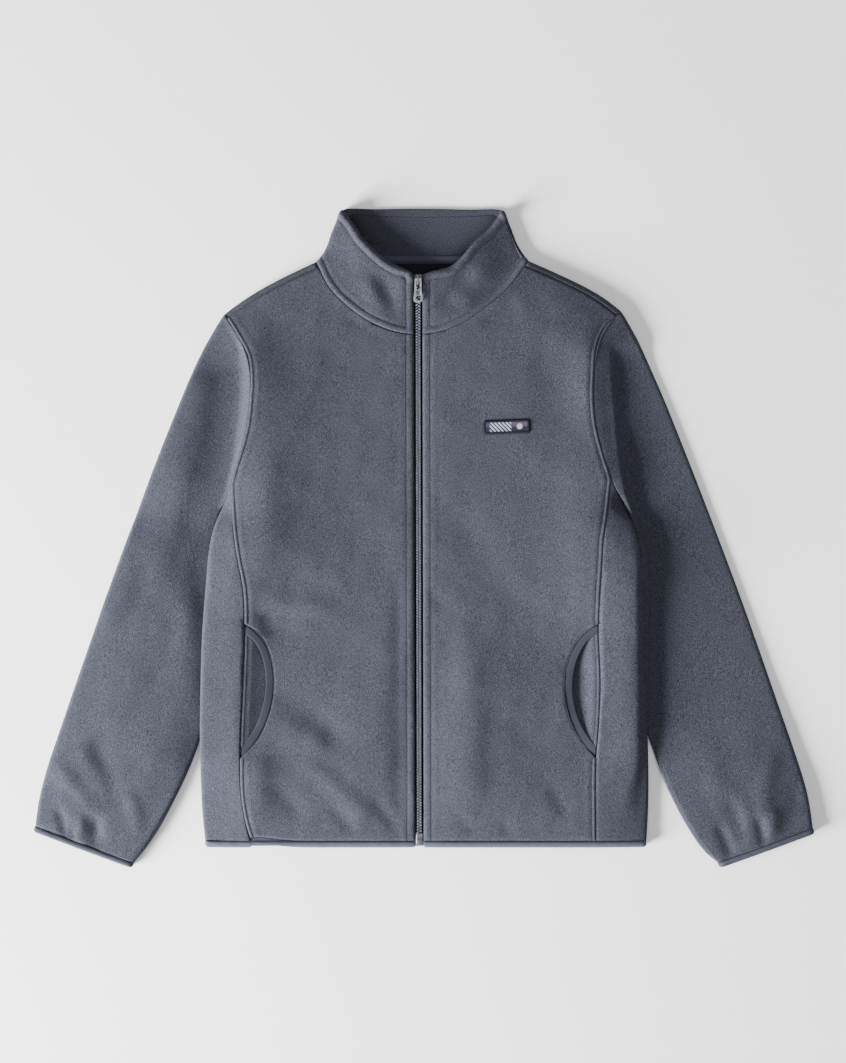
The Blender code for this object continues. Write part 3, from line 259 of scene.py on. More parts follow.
def points_of(piece):
    """The piece's points in millimetres."""
    flat = np.empty(len(piece.data.vertices) * 3, np.float32)
    piece.data.vertices.foreach_get("co", flat)
    return flat.reshape(-1, 3).astype(float) / MM


def set_points(piece, points):
    piece.data.vertices.foreach_set("co", (points * MM).astype(np.float32).ravel())
    piece.data.update()


def write_value(piece, name, values):
    """Stores a number at each point, for the finish to read."""
    layers = piece.data.attributes
    layer = layers.get(name) or layers.new(name, "FLOAT", "POINT")
    layer.data.foreach_set("value", np.asarray(values, np.float32))


# Heights of the relief that sewing and laying out leave in the cloth, in millimetres.
STITCH_PULL, STITCH_SWELL, SEAM_PULL = 0.25, 0.35, 0.32
PUCKER, SMALL_WAVE, LONG_WAVE = 0.2, 0.22, 0.5
HELD_REACH = 13.0


def sew(piece, seams, relief=(), held=(), ease=0.7, lift=None, extra=None, bottom=2.6):
    """Puffs the upper cloth between each seam and its topstitch, and adds creases.

    seams holds a line and the distance of its topstitch from it, or 0 where it has none. The
    creases die out at the lines in held. No trough reaches below the height bottom.
    """
    points = points_of(piece)
    x, y, z = points.T
    upper = soft((z - 6.5) / 3.5) if lift is None else lift(x, y, z)
    edge, stitched, puff = np.full(len(x), 60.0), np.full(len(x), 60.0), np.zeros(len(x))
    for line, inset in seams:
        gap = distance(line, x, y)
        edge = np.minimum(edge, gap)
        if inset:
            stitched = np.minimum(stitched, gap - inset)
            share = np.clip(gap / inset, 0, 1)
            hump = np.where(gap < inset, np.sin(math.pi * share), 0)
            puff = np.maximum(puff, hump * ease)
            puff -= STITCH_PULL * np.exp(-((gap - inset) / 1.8) ** 2)
            puff += STITCH_SWELL * np.exp(-((gap - inset - 4.5) / 3.0) ** 2)
    puff -= SEAM_PULL * np.exp(-(edge / 1.1) ** 2)
    pucker = ripple(x, y, 15, 5) * PUCKER * np.exp(-(edge / 10) ** 2)
    rise = ripple(x, y, 34, 8) * SMALL_WAVE + ripple(x, y, 90, 3) * LONG_WAVE
    rise += creases(relief, x, y)
    for line in held:
        rise *= soft(distance(line, x, y) / HELD_REACH)
    rise += puff + pucker
    rise += extra(x, y) if extra else 0
    rise *= upper
    room = np.maximum(z - bottom, 0.05)
    points[:, 2] += np.where(rise < 0, -room * (1 - np.exp(np.minimum(rise, 0) / room)), rise)
    set_points(piece, points)
    write_value(piece, "edge", edge)
    write_value(piece, "stitched", stitched)


class Signal:
    """A value in a finish. Arithmetic on it adds Math nodes."""

    def __init__(self, finish, socket):
        self.finish, self.socket = finish, socket

    def __add__(self, other):
        return self.finish.math("ADD", self, other)

    def __sub__(self, other):
        return self.finish.math("SUBTRACT", self, other)

    def __rsub__(self, other):
        return self.finish.math("SUBTRACT", other, self)

    def __mul__(self, other):
        return self.finish.math("MULTIPLY", self, other)

    def __truediv__(self, other):
        return self.finish.math("DIVIDE", self, other)

    def __rtruediv__(self, other):
        return self.finish.math("DIVIDE", other, self)

    __radd__, __rmul__ = __add__, __mul__

    def bell(self, width):
        """1 where the value is 0, falling to 0 within about twice the width."""
        share = self / width
        return self.finish.math("EXPONENT", share * share * -1.0)

    def step(self, low, high):
        """0 to 1 as the value goes from low to high."""
        return self.finish.node("MapRange", {"interpolation_type": "SMOOTHSTEP"},
                                {"Value": self, "From Min": low, "From Max": high})


class Finish:
    """A material whose nodes all come from one method."""

    def __init__(self, name, **fixed):
        self.material = bpy.data.materials.new(name)
        self.material.use_nodes = True
        self.tree = self.material.node_tree
        self.shader = self.tree.nodes["Principled BSDF"]
        for socket, value in fixed.items():
            self.shader.inputs[socket.replace("_", " ")].default_value = value

    def node(self, kind, settings=None, inputs=None, output=0):
        """Adds a node: its settings first, then its sockets' values or links."""
        made = self.tree.nodes.new("ShaderNode" + kind)
        for name, value in (settings or {}).items():
            setattr(made, name, value)
        for name, value in (inputs or {}).items():
            slot = made.inputs[name]
            if isinstance(value, Signal):
                self.tree.links.new(value.socket, slot)
            elif slot.type == "RGBA" and len(value) == 3:
                slot.default_value = (*value, 1.0)
            else:
                slot.default_value = value
        return Signal(self, made.outputs[output])

    def math(self, operation, *values):
        return self.node("Math", {"operation": operation}, dict(enumerate(values)))

    def place(self):
        return self.node("TexCoord", output="Object")

    def value(self, name):
        return self.node("Attribute", {"attribute_name": name}, output="Fac")

    def noise(self, scale, detail=2.0, roughness=0.5, where=None):
        return self.node("TexNoise", inputs={"Vector": where or self.place(), "Scale": scale,
                                             "Detail": detail, "Roughness": roughness})

    def blend(self, share, first, second):
        """A colour between two, by a share from 0 to 1."""
        return self.node("Mix", {"data_type": "RGBA"}, {0: share, 6: first, 7: second}, 2)

    def feed(self, socket, signal):
        self.tree.links.new(signal.socket, self.shader.inputs[socket])

    def bump(self, height, depth, strength=1.0):
        """Relief from a height in units of depth, a length in metres."""
        self.feed("Normal", self.node("Bump", inputs={"Height": height, "Distance": depth,
                                                      "Strength": strength}))


FLEECE = (0.0372, 0.0392, 0.0530)


def shaded(colour, amount):
    return tuple(amount * part for part in colour)


def fleece_finish(name, tone=1.0, painted_hollow_shade=False):
    """Short matt nap in grains about 1 mm across, lying a little along one diagonal, with painted
    shade along the seams and stitch grooves and, where asked, in hollows.
    """
    made = Finish(name, Roughness=0.95, Sheen_Weight=0.03, Sheen_Roughness=0.5,
                  Sheen_Tint=(0.75, 0.8, 0.95, 1.0), Specular_IOR_Level=0.12)
    lay = made.node("Mapping", inputs={"Vector": made.place(), "Rotation": (0, 0, 0.75),
                                       "Scale": (1.0, 0.62, 1.0)}, output="Vector")
    grain = made.noise(1000, 3.0, 0.75, lay)
    clump = made.noise(150, 2.0, 0.5)
    edge, stitched = made.value("edge"), made.value("stitched")
    seam, groove = edge.bell(0.6), stitched.bell(0.8)
    colour = shaded(FLEECE, tone)
    base = made.blend(grain.step(0.3, 0.7), shaded(colour, 0.3), shaded(colour, 1.74))
    base = made.blend(clump.step(0.3, 0.7) * 0.06, base, shaded(colour, 1.5))
    # Painted shade: the cloth is darkened along each stitch groove and seam line, where shade
    # falls.
    base = made.blend(groove * 0.38 + seam * 0.22, base, shaded(colour, 0.3))
    # Painted shade: inner faces seen inside the collar and through the back neck are darkened,
    # where little light reaches them.
    if painted_hollow_shade:
        base = made.blend(made.value("inside") * 0.12, base, shaded(colour, 0.5))
        base = made.blend(made.value("deep_painted_shade") * 0.85, base, shaded(colour, 0.12))
    made.feed("Base Color", base)
    made.bump(grain - groove * 0.6 - seam * 0.3, 0.0009, 0.8)
    return made.material


fleece = fleece_finish("fleece")


def dress(piece, name, finish, nodes=(), body="garment"):
    """Names a finished piece, gives it its finish and body, and hides the solids it stands for."""
    piece.name = piece.data.name = name
    piece.data.materials.clear()
    piece.data.materials.append(finish)
    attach(piece, body)
    if nodes:
        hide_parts(*nodes)
    return piece


def top_tree(piece):
    """The piece's surface, to lay thread or a badge on."""
    return BVHTree.FromObject(piece, bpy.context.evaluated_depsgraph_get())


def height_on(tree, x, y):
    """Height of the surface at x, y in millimetres, or None beside it."""
    hit = tree.ray_cast(Vector((x * MM, y * MM, 0.2)), Vector((0, 0, -1)))[0]
    return None if hit is None else hit.z / MM


THREAD_COLOUR = (0.030, 0.032, 0.042)
thread_finish = Finish("sewing thread", Roughness=0.6, Sheen_Weight=0.05)
twist = thread_finish.noise(2600, 2.0)
thread_finish.feed("Base Color", thread_finish.blend(
    twist.step(0.3, 0.7), shaded(THREAD_COLOUR, 0.6), shaded(THREAD_COLOUR, 1.5)))
thread_finish.bump(twist, 0.0002, 0.5)
STITCH_PITCH, STITCH_LENGTH, THREAD_WIDTH, STITCH_CLIMB = 3.2, 2.5, 0.62, 1.5


def thread(name, rows):
    """Lays a row of stitches along each line, sunk into the piece that it is sewn on."""
    mesh = bmesh.new()
    for tree, line in rows:
        gaps = np.hypot(*np.diff(line, axis=0).T)
        run = np.concatenate([[0], np.cumsum(gaps)])
        for start in np.arange(1.0, run[-1] - STITCH_PITCH, STITCH_PITCH):
            ends = []
            for at in (start, start + STITCH_LENGTH):
                x, y = np.interp(at, run, line[:, 0]), np.interp(at, run, line[:, 1])
                z = height_on(tree, x, y)
                ends.append(None if z is None else Vector((x, y, z)))
            if None in ends or abs(ends[0].z - ends[1].z) > STITCH_CLIMB:
                continue
            way = ends[1] - ends[0]
            place = (Matrix.Translation((ends[0] + ends[1]) / 2 * MM)
                     @ way.to_track_quat("X", "Z").to_matrix().to_4x4()
                     @ Matrix.Diagonal((way.length / 2 * MM, THREAD_WIDTH / 2 * MM,
                                        THREAD_WIDTH / 2 * MM, 1)))
            bmesh.ops.create_icosphere(mesh, subdivisions=1, radius=1, matrix=place)
    return dress(placed(mesh, name), name, thread_finish.material)


# Distance of each row of topstitching from its seam, and where the row beside the zip ends.
PLACKET_STITCH, ARMHOLE_STITCH, SIDE_STITCH, MOUTH_STITCH = 9.2, 4.6, 4.6, 11.2
PLACKET_SEWN_TO_Y = 242.0
ZIP_LINE = np.array([(zip_x(y), y) for y in np.linspace(HEM_Y - 9, ZIP_TOP_Y, 60)])
fronts, seam_rows, held_rows = {}, {}, {}
for side, sign in SIGN.items():
    panel = fine_copy("front_" + side, 3)
    zip_edge = ZIP_LINE + (sign * ZIP_GAP, 0)
    shoulder = beside(seam_line(SHOULDER_FOLD, side), sign * SHOULDER_INSET)
    hem = np.array([(0.0, HEM_Y), (sign * 212.0, HEM_Y)])
    mouth, armhole = seam_line(POCKET_MOUTH, side), seam_line(ARMHOLE, side)
    side_seam = seam_line(SIDE_SEAM, side)
    low_seam = side_seam[side_seam[:, 1] < POCKET_FOOT_Y]
    high_seam = side_seam[side_seam[:, 1] > POCKET_HEAD_Y]
    neck = seam_line(NECK_SEAM, side)
    wall = points_of(panel)
    for line in (shoulder, neck, armhole, low_seam, high_seam, mouth):
        close_up(wall, line)
    set_points(panel, wall)
    seam_rows[side] = [(shoulder, 0), (neck, 0), (hem, 0), (mouth, 0)]
    held_rows[side] = [shoulder, neck, hem, zip_edge]
    sew(panel, seam_rows[side] + [(zip_edge, PLACKET_STITCH), (armhole, ARMHOLE_STITCH),
                                  (low_seam, SIDE_STITCH), (high_seam, SIDE_STITCH)],
        CREASES, held_rows[side])
    fronts[side] = dress(panel, "front_" + side + "_cloth", fleece, nodes=["front_" + side])
    tree = top_tree(panel)
    placket = zip_edge + (sign * PLACKET_STITCH, 0)
    sewing = thread("front_" + side + "_thread", [
        (tree, placket[placket[:, 1] < PLACKET_SEWN_TO_Y]),
        (tree, beside(armhole, sign * ARMHOLE_STITCH)),
        (tree, beside(low_seam, sign * SIDE_STITCH)),
        (tree, beside(high_seam, sign * SIDE_STITCH)),
        (tree, beside(mouth, sign * MOUTH_STITCH))])


# Side panels -----------------------------------------------------------------------------------
# A strip of the same fleece on each side, wrapped round the side fold to the back seam.
# Towards the side fold the panel falls by this much more than its solid does.
PANEL_FALL, PANEL_TOP, FALL_FROM, FALL_OVER = {"right": 3.4, "left": 2.0}, 21.0, 226.0, 38.0
for side, sign in SIGN.items():
    panel = fine_copy("side_panel_" + side, 3)
    wall = points_of(panel)
    wall[:, 2] -= (PANEL_FALL[side] * wall[:, 2] / PANEL_TOP
                   * np.clip((abs(wall[:, 0]) - FALL_FROM) / FALL_OVER, 0, 1))
    side_seam, armhole = seam_line(SIDE_SEAM, side), seam_line(ARMHOLE, side)
    hem = np.array([(sign * 200.0, HEM_Y), (sign * 270.0, HEM_Y)])
    for line in (side_seam, armhole):
        close_up(wall, line)
    set_points(panel, wall)
    sew(panel, [(side_seam, 0), (armhole, 0), (hem, 0)], CREASES, [hem],
        lift=lambda x, y, z: soft((z - 11.0) / 4.0) * soft((266 - abs(x)) / 14))
    dress(panel, "side_panel_" + side + "_cloth", fleece, nodes=["side_panel_" + side])


# Back panel ------------------------------------------------------------------------------------
# One piece from the hem to the back neck, wrapped over each shoulder to the front seam. Its
# inner face shows through the neck, where little light reaches it, and is painted with shade
# there.
back_fleece = fleece_finish("back fleece", painted_hollow_shade=True)
panel = fine_copy("back_panel", 2)
back_seams = [(beside(seam_line(SHOULDER_FOLD, side), SIGN[side] * SHOULDER_INSET), 0)
              for side in SIGN]
sew(panel, back_seams + [(seam_line(ARMHOLE, side), 0) for side in SIGN], (),
    lift=lambda x, y, z: np.zeros(len(x)))
NECK_HALF, NECK_FOOT_Y, INNER_TOP_Z = 120.0, 180.0, 8.0
# Painted shade: the back's inner face under the neck is marked to be darkened.
x, y, z = points_of(panel).T
under_neck = (abs(x) < NECK_HALF) & (y > NECK_FOOT_Y) & (z < INNER_TOP_Z)
for name in ("inside", "deep_painted_shade"):
    write_value(panel, name, under_neck)
dress(panel, "back_cloth", back_fleece, nodes=["back_panel"])


# Sleeves ---------------------------------------------------------------------------------------
# Tubes of fleece set into the armholes, pressed flat, with soft creases down from the shoulder.
SLEEVE_CREASES = [
    (-264, 240, -330, 30, 4, 40, 8.0), (-340, 30, -396, -120, 4, 36, 2.6),
    (-272, -36, -272, -256, 0, 20, 4.6), (-300, -80, -330, -190, 10, 14, -1.4),
    (-262, 40, -292, -60, -6, 16, -1.6), (-330, -20, -366, -120, 8, 14, -1.0),
    (-396, -230, -352, -330, -8, 12, -1.8), (-452, -262, -400, -346, 8, 11, 2.2),
    (-436, -290, -382, -372, 5, 8, -2.0), (-416, -244, -372, -316, 5, 10, 1.8),
    (-340, -150, -392, -230, 8, 18, 1.4), (-356, -300, -340, -356, 3, 9, 1.6),
    (-440, -318, -428, -360, 2, 6, -2.4), (-391, -330, -399, -372, 3, 7, -2.4),
    (-421, -346, -418, -362, 0, 3, -1.2), (-408, -330, -412, -366, 0, 6, 1.2),
    (292, 60, 300, -230, 0, 24, -1.6), (330, 90, 360, -220, 0, 46, -4.0),
    (352, -300, 384, -372, 6, 10, -1.8), (420, -250, 408, -350, -6, 13, 1.8),
    (446, -290, 428, -356, 4, 9, -1.2), (380, -310, 384, -376, 3, 8, 1.2),
    (330, -240, 372, -330, -4, 16, 1.4), (350, -340, 368, -386, 2, 7, -2.6),
    (397, -330, 405, -370, 2, 6, -2.4), (418, -318, 412, -362, 2, 8, 1.6),
]
CUFF = {"right": [(-465.8, -344.0), (-346.5, -388.5)], "left": [(465.8, -346.5), (351.0, -388.3)]}

# The sleeve cloth beside each armhole folds down along a line that ends at the armpit.
SLEEVE_TUCK = {
    "right": [(238, 219.0), (216.5, 220.6), (174.4, 220.6), (142, 222.8), (109.4, 225.5),
              (77, 228.7), (38, 240.0), (20, 247), (-20, 262), (-60, 264)],
    "left": [(238, 215.0), (225.6, 219), (160.8, 223.8), (129, 226.8), (97.6, 229.1),
             (54, 236.3), (40, 241), (20, 250), (-20, 262), (-60, 264)],
}
# The underarm seam shows a little inside the lower part of each sleeve's inner fold.
UNDERARM = {
    "right": [(-344.2, -389.0), (-330.4, -364.5), (-303.6, -319.1), (-272.3, -264.5)],
    "left": [(348.4, -386.9), (334.8, -368.8), (318.8, -346.1), (305.3, -321.1), (281.0, -264.0)],
}
ARMPIT_Y, ARMPIT_TUCK = 6.0, 4.6
# Where the drop starts at the shoulder and ends above the cuff, and how soon it gets its depth.
DROP_TOP, DROP_START, DROP_FOOT, DROP_END = 238.0, 44.0, -350.0, 190.0
# Near the armpit the right sleeve's drop starts under the side panel.
LEAD, LEAD_FROM, LEAD_OVER = 12.0, 100.0, 50.0


def fall(gap, depth, width, tail):
    """A drop of the cloth over width, that eases back out over tail."""
    gap = np.maximum(gap, 0)
    return -depth * (1 - np.exp(-(gap / width) ** 1.4)) * np.exp(-gap / tail)


def out_at(table, y):
    """How far out a seam or fold is at each y."""
    table = np.array(sorted(table), float)
    return np.interp(y, table[:, 0], table[:, 1])


for side, sign in SIGN.items():
    tube = fine_copy("sleeve_" + side, 3)
    wall = points_of(tube)
    wall[:, 0] -= sign * ARMPIT_TUCK * np.exp(-((wall[:, 1] - ARMPIT_Y) / 30) ** 2
                                              - ((abs(wall[:, 0]) - 250) / 16) ** 2)
    armhole, cuff = seam_line(ARMHOLE, side), np.array(CUFF[side])
    for line in (armhole, cuff):
        close_up(wall, line)
    set_points(tube, wall)

    def beside_armhole(x, y):
        """The sleeve's drop beside the armhole, and what goes on in it of the front's creases."""
        seam, fold = out_at(ARMHOLE[side], y), out_at(SLEEVE_TUCK[side], y)
        beyond, reach = sign * x - fold, np.maximum(fold - seam, 6.0)
        if side == "right":
            near = np.exp(-(distance(armhole, x, y) / (0.7 * reach)) ** 2)
            lead = LEAD * soft((LEAD_FROM - y) / LEAD_OVER)
            drop = fall(sign * x - seam + lead, 11.0, 0.55 * reach + 0.3 * lead, 44.0)
        else:
            near = np.exp(-(np.maximum(beyond - 1.0, 0) / 7) ** 2)
            drop = fall(beyond - 3.0, 9.0, 5.0, 70.0) + fall(beyond - 2.0, 11.0, 26.0, 400.0)
        along = soft((DROP_TOP - y) / DROP_START) * soft((y - DROP_FOOT) / DROP_END)
        return along * drop + creases(CREASES, x, y) * near

    sew(tube, [(armhole, 0), (cuff, 0), (curve_through(UNDERARM[side]), 0)], SLEEVE_CREASES,
        lift=lambda x, y, z: soft((z - 3.5) / 3.0), bottom=3.4, extra=beside_armhole)
    dress(tube, "sleeve_" + side + "_cloth", fleece, nodes=["sleeve_" + side])


# Collar ----------------------------------------------------------------------------------------
# One strip of doubled fleece that stands up in wear. It lies folded at its sides here, and its
# fronts are topstitched beside the upper edge, the zip and the neck seam.
COLLAR_EDGE = {
    "right": [(390, 99.5), (383, 91.0), (356.4, 72.1), (338.4, 54.1), (330.4, 44.5),
              (323.4, 30.6), (319.6, 17.4), (313.8, 12.1)],
    "left": [(389, 96.5), (383, 88.0), (370.3, 79.4), (352.3, 58.8), (334.4, 45.0),
             (323.8, 34.0), (319.8, 17.4), (317.6, 6.0), (313.8, -2.1)],
}
COLLAR_CREASES = [
    (-58, 316, -32, 262, 4, 8, -1.3), (-74, 316, -50, 262, 3, 9, 1.2),
    (60, 326, 20, 268, -5, 9, -1.5), (78, 330, 44, 270, -3, 12, 1.4),
    (-104, 352, -92, 316, 2, 12, -0.6), (112, 262, 104, 404, 0, 60, -8.5),
]
COLLAR_BACK_TOP = [(-100, 391.0), (-93, 396.4), (-60, 397.0), (0, 396.0), (60, 397.0),
                   (90, 396.4), (97, 391.0)]
COLLAR_STITCH, PLACKET_TOP_STITCH, NECK_STITCH = 10.5, 9.2, 8.0
ZIP_IN_COLLAR_Y, SEWN_IN_COLLAR_Y = 240.0, (252.0, 304.0)
RIM_RISE, RIM_DROP, TOP_RISE = 1.9, 2.4, 3.4
rims = {side: seam_line(COLLAR_EDGE, side) for side in SIGN}
back_top = curve_through(COLLAR_BACK_TOP)


def read_value(piece, name):
    values = np.empty(len(piece.data.vertices), np.float32)
    piece.data.attributes[name].data.foreach_get("value", values)
    return values


def inside_collar(x, y):
    """Distance in from the collar's front rims, positive over the back's inner face."""
    inner = np.interp(y, rims["left"][::-1, 1], rims["left"][::-1, 0])
    outer = np.interp(y, rims["right"][::-1, 1], rims["right"][::-1, 0])
    within = (x > outer) & (x < inner) & (y > 317)
    gap = np.minimum(distance(rims["left"], x, y), distance(rims["right"], x, y))
    return np.where(within, gap, -gap)


def collar_roll(x, y):
    """The doubled rim: it stands up, rolls over and drops to the inner face of the back."""
    gap = inside_collar(x, y)
    rim = RIM_RISE * np.exp(-((gap + 5.0) / 4.5) ** 2) - RIM_DROP * soft((gap + 0.5) / 3.0)
    top = distance(back_top, x, y)
    return rim + TOP_RISE * np.exp(-((top - 4.6) / 5.0) ** 4)


def bend_round(points, centre, radius, first, second):
    """Brings what lies beyond a corner's bend, on the side of both ways, back to the bend."""
    off = points[:, :2] - centre
    reach = np.hypot(*off.T)
    beyond = (off @ first > 0) & (off @ second > 0) & (reach > radius)
    points[:, :2] += off * np.where(beyond, radius / np.maximum(reach, 1) - 1, 0)[:, None]


# The doubled rim is thick, so it goes round the upper corners in a bend, a little further up.
CORNER_AT, CORNER_RADIUS = {"right": (-88.4, 385.0), "left": (85.0, 385.0)}, 12.0
CORNER_REACH = 3.6
collar = fine_copy("collar", 3, sharp=0.6)
spread = points_of(collar)
corner = np.exp(-((abs(spread[:, 0] + 1.5) - 94) / 26) ** 2) * soft((spread[:, 1] - 374) / 14)
spread[:, 1] += CORNER_REACH * corner
for side, sign in SIGN.items():
    bend_round(spread, CORNER_AT[side], CORNER_RADIUS, (-0.43 * sign, 0.9), (sign, 0))
    close_up(spread, seam_line(NECK_SEAM, side))
set_points(collar, spread)
collar_seams = [(back_top, COLLAR_STITCH)]
for side, sign in SIGN.items():
    zip_edge = (ZIP_LINE + (sign * ZIP_GAP, 0))[ZIP_LINE[:, 1] > ZIP_IN_COLLAR_Y]
    collar_seams += [(rims[side], COLLAR_STITCH), (seam_line(NECK_SEAM, side), NECK_STITCH),
                     (zip_edge, PLACKET_TOP_STITCH)]
neck_lines = [seam_line(NECK_SEAM, side) for side in SIGN]
sew(collar, collar_seams, COLLAR_CREASES, neck_lines, ease=0.9,
    lift=lambda x, y, z: soft((z - 8.0) / 3.0), extra=collar_roll)
x, y, z = points_of(collar).T
# Painted shade: the back's inner face between the front rims is marked to be darkened, the most
# close to the rims.
painted_hollow_shade = soft((inside_collar(x, y) - 0.5) / 2.5) * soft((distance(back_top, x, y) - 9.6) / 1.6)
write_value(collar, "inside", painted_hollow_shade)
write_value(collar, "deep_painted_shade", painted_hollow_shade * np.exp(-inside_collar(x, y) / 9))
write_value(collar, "stitched", np.where(inside_collar(x, y) > 0.5,
                                         distance(back_top, x, y) - COLLAR_STITCH,
                                         read_value(collar, "stitched")))
collar_fleece = fleece_finish("collar fleece", painted_hollow_shade=True)
dress(collar, "collar_cloth", collar_fleece, nodes=["collar"])
tree = top_tree(collar)
rows = [(tree, beside(back_top, -COLLAR_STITCH)[18:-18])]
for side, sign in SIGN.items():
    neck, rim = seam_line(NECK_SEAM, side), rims[side]
    placket = ZIP_LINE + (sign * (ZIP_GAP + PLACKET_TOP_STITCH), 0)
    foot_y, head_y = SEWN_IN_COLLAR_Y
    rows += [(tree, beside(neck, -sign * NECK_STITCH)[:-5]),
             (tree, beside(rim, sign * COLLAR_STITCH)[6:-4]),
             (tree, placket[(placket[:, 1] > foot_y) & (placket[:, 1] < head_y)])]
sewing = thread("collar_thread", rows)


# Bindings --------------------------------------------------------------------------------------
# Smooth folded knit tape, sewn round the hem, the cuffs and the pocket mouths. Its sewing
# gathers it a little.
def binding_finish(name, tone=1.0):
    """Fine smooth knit, gathered by its sewing, with painted shade along the line where it meets
    the fleece.
    """
    made = Finish(name, Roughness=0.9, Sheen_Weight=0.03, Specular_IOR_Level=0.08)
    yarn = made.noise(1100, 2.0, 0.5)
    gather = made.noise(85, 2.0, 0.5)
    seam = made.value("edge").bell(0.8)
    colour = shaded((0.0375, 0.0405, 0.0570), tone)
    base = made.blend(yarn.step(0.3, 0.7), shaded(colour, 0.8), shaded(colour, 1.2))
    base = made.blend(gather.step(0.4, 0.75) * 0.15, base, shaded(colour, 0.55))
    # Painted shade: the knit is darkened along its edges, where it meets the fleece.
    base = made.blend(seam * 0.5, base, shaded(colour, 0.25))
    made.feed("Base Color", base)
    made.bump(yarn * 0.4 + gather * 0.5 - seam * 0.4, 0.0006, 0.7)
    return made.material


def plump(piece, middle, half, rise, lift, relief=()):
    """Rounds a binding: it is highest along its middle line, with small gathers."""
    points = points_of(piece)
    x, y, z = points.T
    off = np.clip(distance(middle, x, y) / half, 0, 1.2)
    gathers = 1 + 0.12 * ripple(x, y, 12, 11)
    points[:, 2] += lift(z) * (rise * gathers * (1 - off ** 2) - 0.3 + creases(relief, x, y))
    set_points(piece, points)
    write_value(piece, "edge", half * (1 - np.clip(off, 0, 1)))


knit = binding_finish("binding", 1.12)
# Half of each binding's width, how high its middle rises, and the bend at its ends.
HEM_HALF, HEM_RISE, HEM_MIDDLE_Y, HEM_STITCH_Y, HEM_BEND, HEM_BEND_Y = (
    3.9, 1.5, -365.6, -363.4, 5.0, -364.4)
CUFF_HALF, CUFF_RISE, CUFF_STITCH, CUFF_BEND, CUFF_BEND_DOWN = 3.6, 1.5, 1.4, 4.2, 2.8
POCKET_HALF, POCKET_RISE, POCKET_MIDDLE = 4.8, 1.3, 4.9
trim = fine_copy("hem_binding", 3, sharp=0.4)
wall = points_of(trim)
for end, sign in zip((cad[0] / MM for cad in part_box("hem_binding")), (-1, 1)):
    bend_round(wall, (end - sign * HEM_BEND, HEM_BEND_Y), HEM_BEND, (sign, 0), (0, -1))
set_points(trim, wall)
plump(trim, np.array([(-290.0, HEM_MIDDLE_Y), (290.0, HEM_MIDDLE_Y)]), HEM_HALF, HEM_RISE,
      lambda z: soft((z - 7) / 4))
# Painted light: the hem's tape is the same knit as the cuffs' but made lighter, for the light it
# catches from the low lamp.
dress(trim, "hem_binding_cloth", binding_finish("hem binding", 1.75),
      ["hem_binding"])
sewing = thread("hem_thread", [
    (top_tree(trim), np.array([(start, HEM_STITCH_Y), (end, HEM_STITCH_Y)]))
    for start, end in ((-258.0, -14.0), (2.0, 256.0))])
for side, sign in SIGN.items():
    trim = fine_copy("cuff_binding_" + side, 3, sharp=0.4)
    outer, inner = (np.array(point) for point in CUFF[side])
    run = (inner - outer) / np.hypot(*(inner - outer))
    down = np.array([run[1], -run[0]])
    down *= -np.sign(down[1])
    wall = points_of(trim)
    for end, way in ((outer, -run), (inner, run)):
        bend_round(wall, end - way * CUFF_BEND + down * CUFF_BEND_DOWN, CUFF_BEND, way, down)
    set_points(trim, wall)
    cuff = np.array([outer, inner])
    plump(trim, cuff + down * CUFF_HALF, CUFF_HALF, CUFF_RISE, lambda z: soft((z - 5) / 3))
    dress(trim, "cuff_binding_" + side + "_cloth", knit, ["cuff_binding_" + side])
    sewing = thread("cuff_thread_" + side, [(top_tree(trim), cuff + down * CUFF_STITCH)])
    trim = fine_copy("pocket_binding_" + side, 3, sharp=0.4)
    middle = beside(seam_line(POCKET_MOUTH, side), sign * POCKET_MIDDLE)
    plump(trim, middle, POCKET_HALF, POCKET_RISE, lambda z: soft((z - 12) / 3), CREASES)
    dress(trim, "pocket_binding_" + side + "_cloth", knit,
          ["pocket_binding_" + side])


# Pocket facings --------------------------------------------------------------------------------
# The fleece of the pocket's inner side, seen through the mouth. It is sewn in with the
# side-panel seam, so it rises to it.
inner_fleece = fleece_finish("fleece inside", 1.08)
FACING_RISE, RISE_REACH, MOUTH_EASE = 2.8, 30.0, 13.0
FACING_FOOT_Y, FACING_HEAD_Y, END_EASE = -260.0, -104.0, 14.0
for side, sign in SIGN.items():
    facing = fine_copy("pocket_facing_" + side, 3)
    side_seam = seam_line(SIDE_SEAM, side)

    def within(x, y):
        """1 inside the side-panel seam, 0 beyond it, where the facing is covered."""
        return soft((np.interp(-y, -side_seam[::-1, 1], sign * side_seam[::-1, 0])
                     - sign * x + 1.3) / 0.8)

    sew(facing, seam_rows[side] + [(side_seam, SIDE_STITCH)], CREASES, held_rows[side],
        lift=lambda x, y, z: within(x, y),
        extra=lambda x, y: FACING_RISE
        * soft((FACING_HEAD_Y - y) / END_EASE) * soft((y - FACING_FOOT_Y) / END_EASE)
        * np.exp(-(distance(side_seam, x, y) / RISE_REACH) ** 2)
        * soft((sign * x - out_at(POCKET_MOUTH[side], y)) / MOUTH_EASE))
    dress(facing, "pocket_facing_" + side + "_cloth", inner_fleece,
          nodes=["pocket_facing_" + side])
    middle_seam = side_seam[(side_seam[:, 1] > FACING_FOOT_Y) & (side_seam[:, 1] < FACING_HEAD_Y)]
    sewing = thread("pocket_thread_" + side,
                    [(top_tree(facing), beside(middle_seam, sign * SIDE_STITCH))])


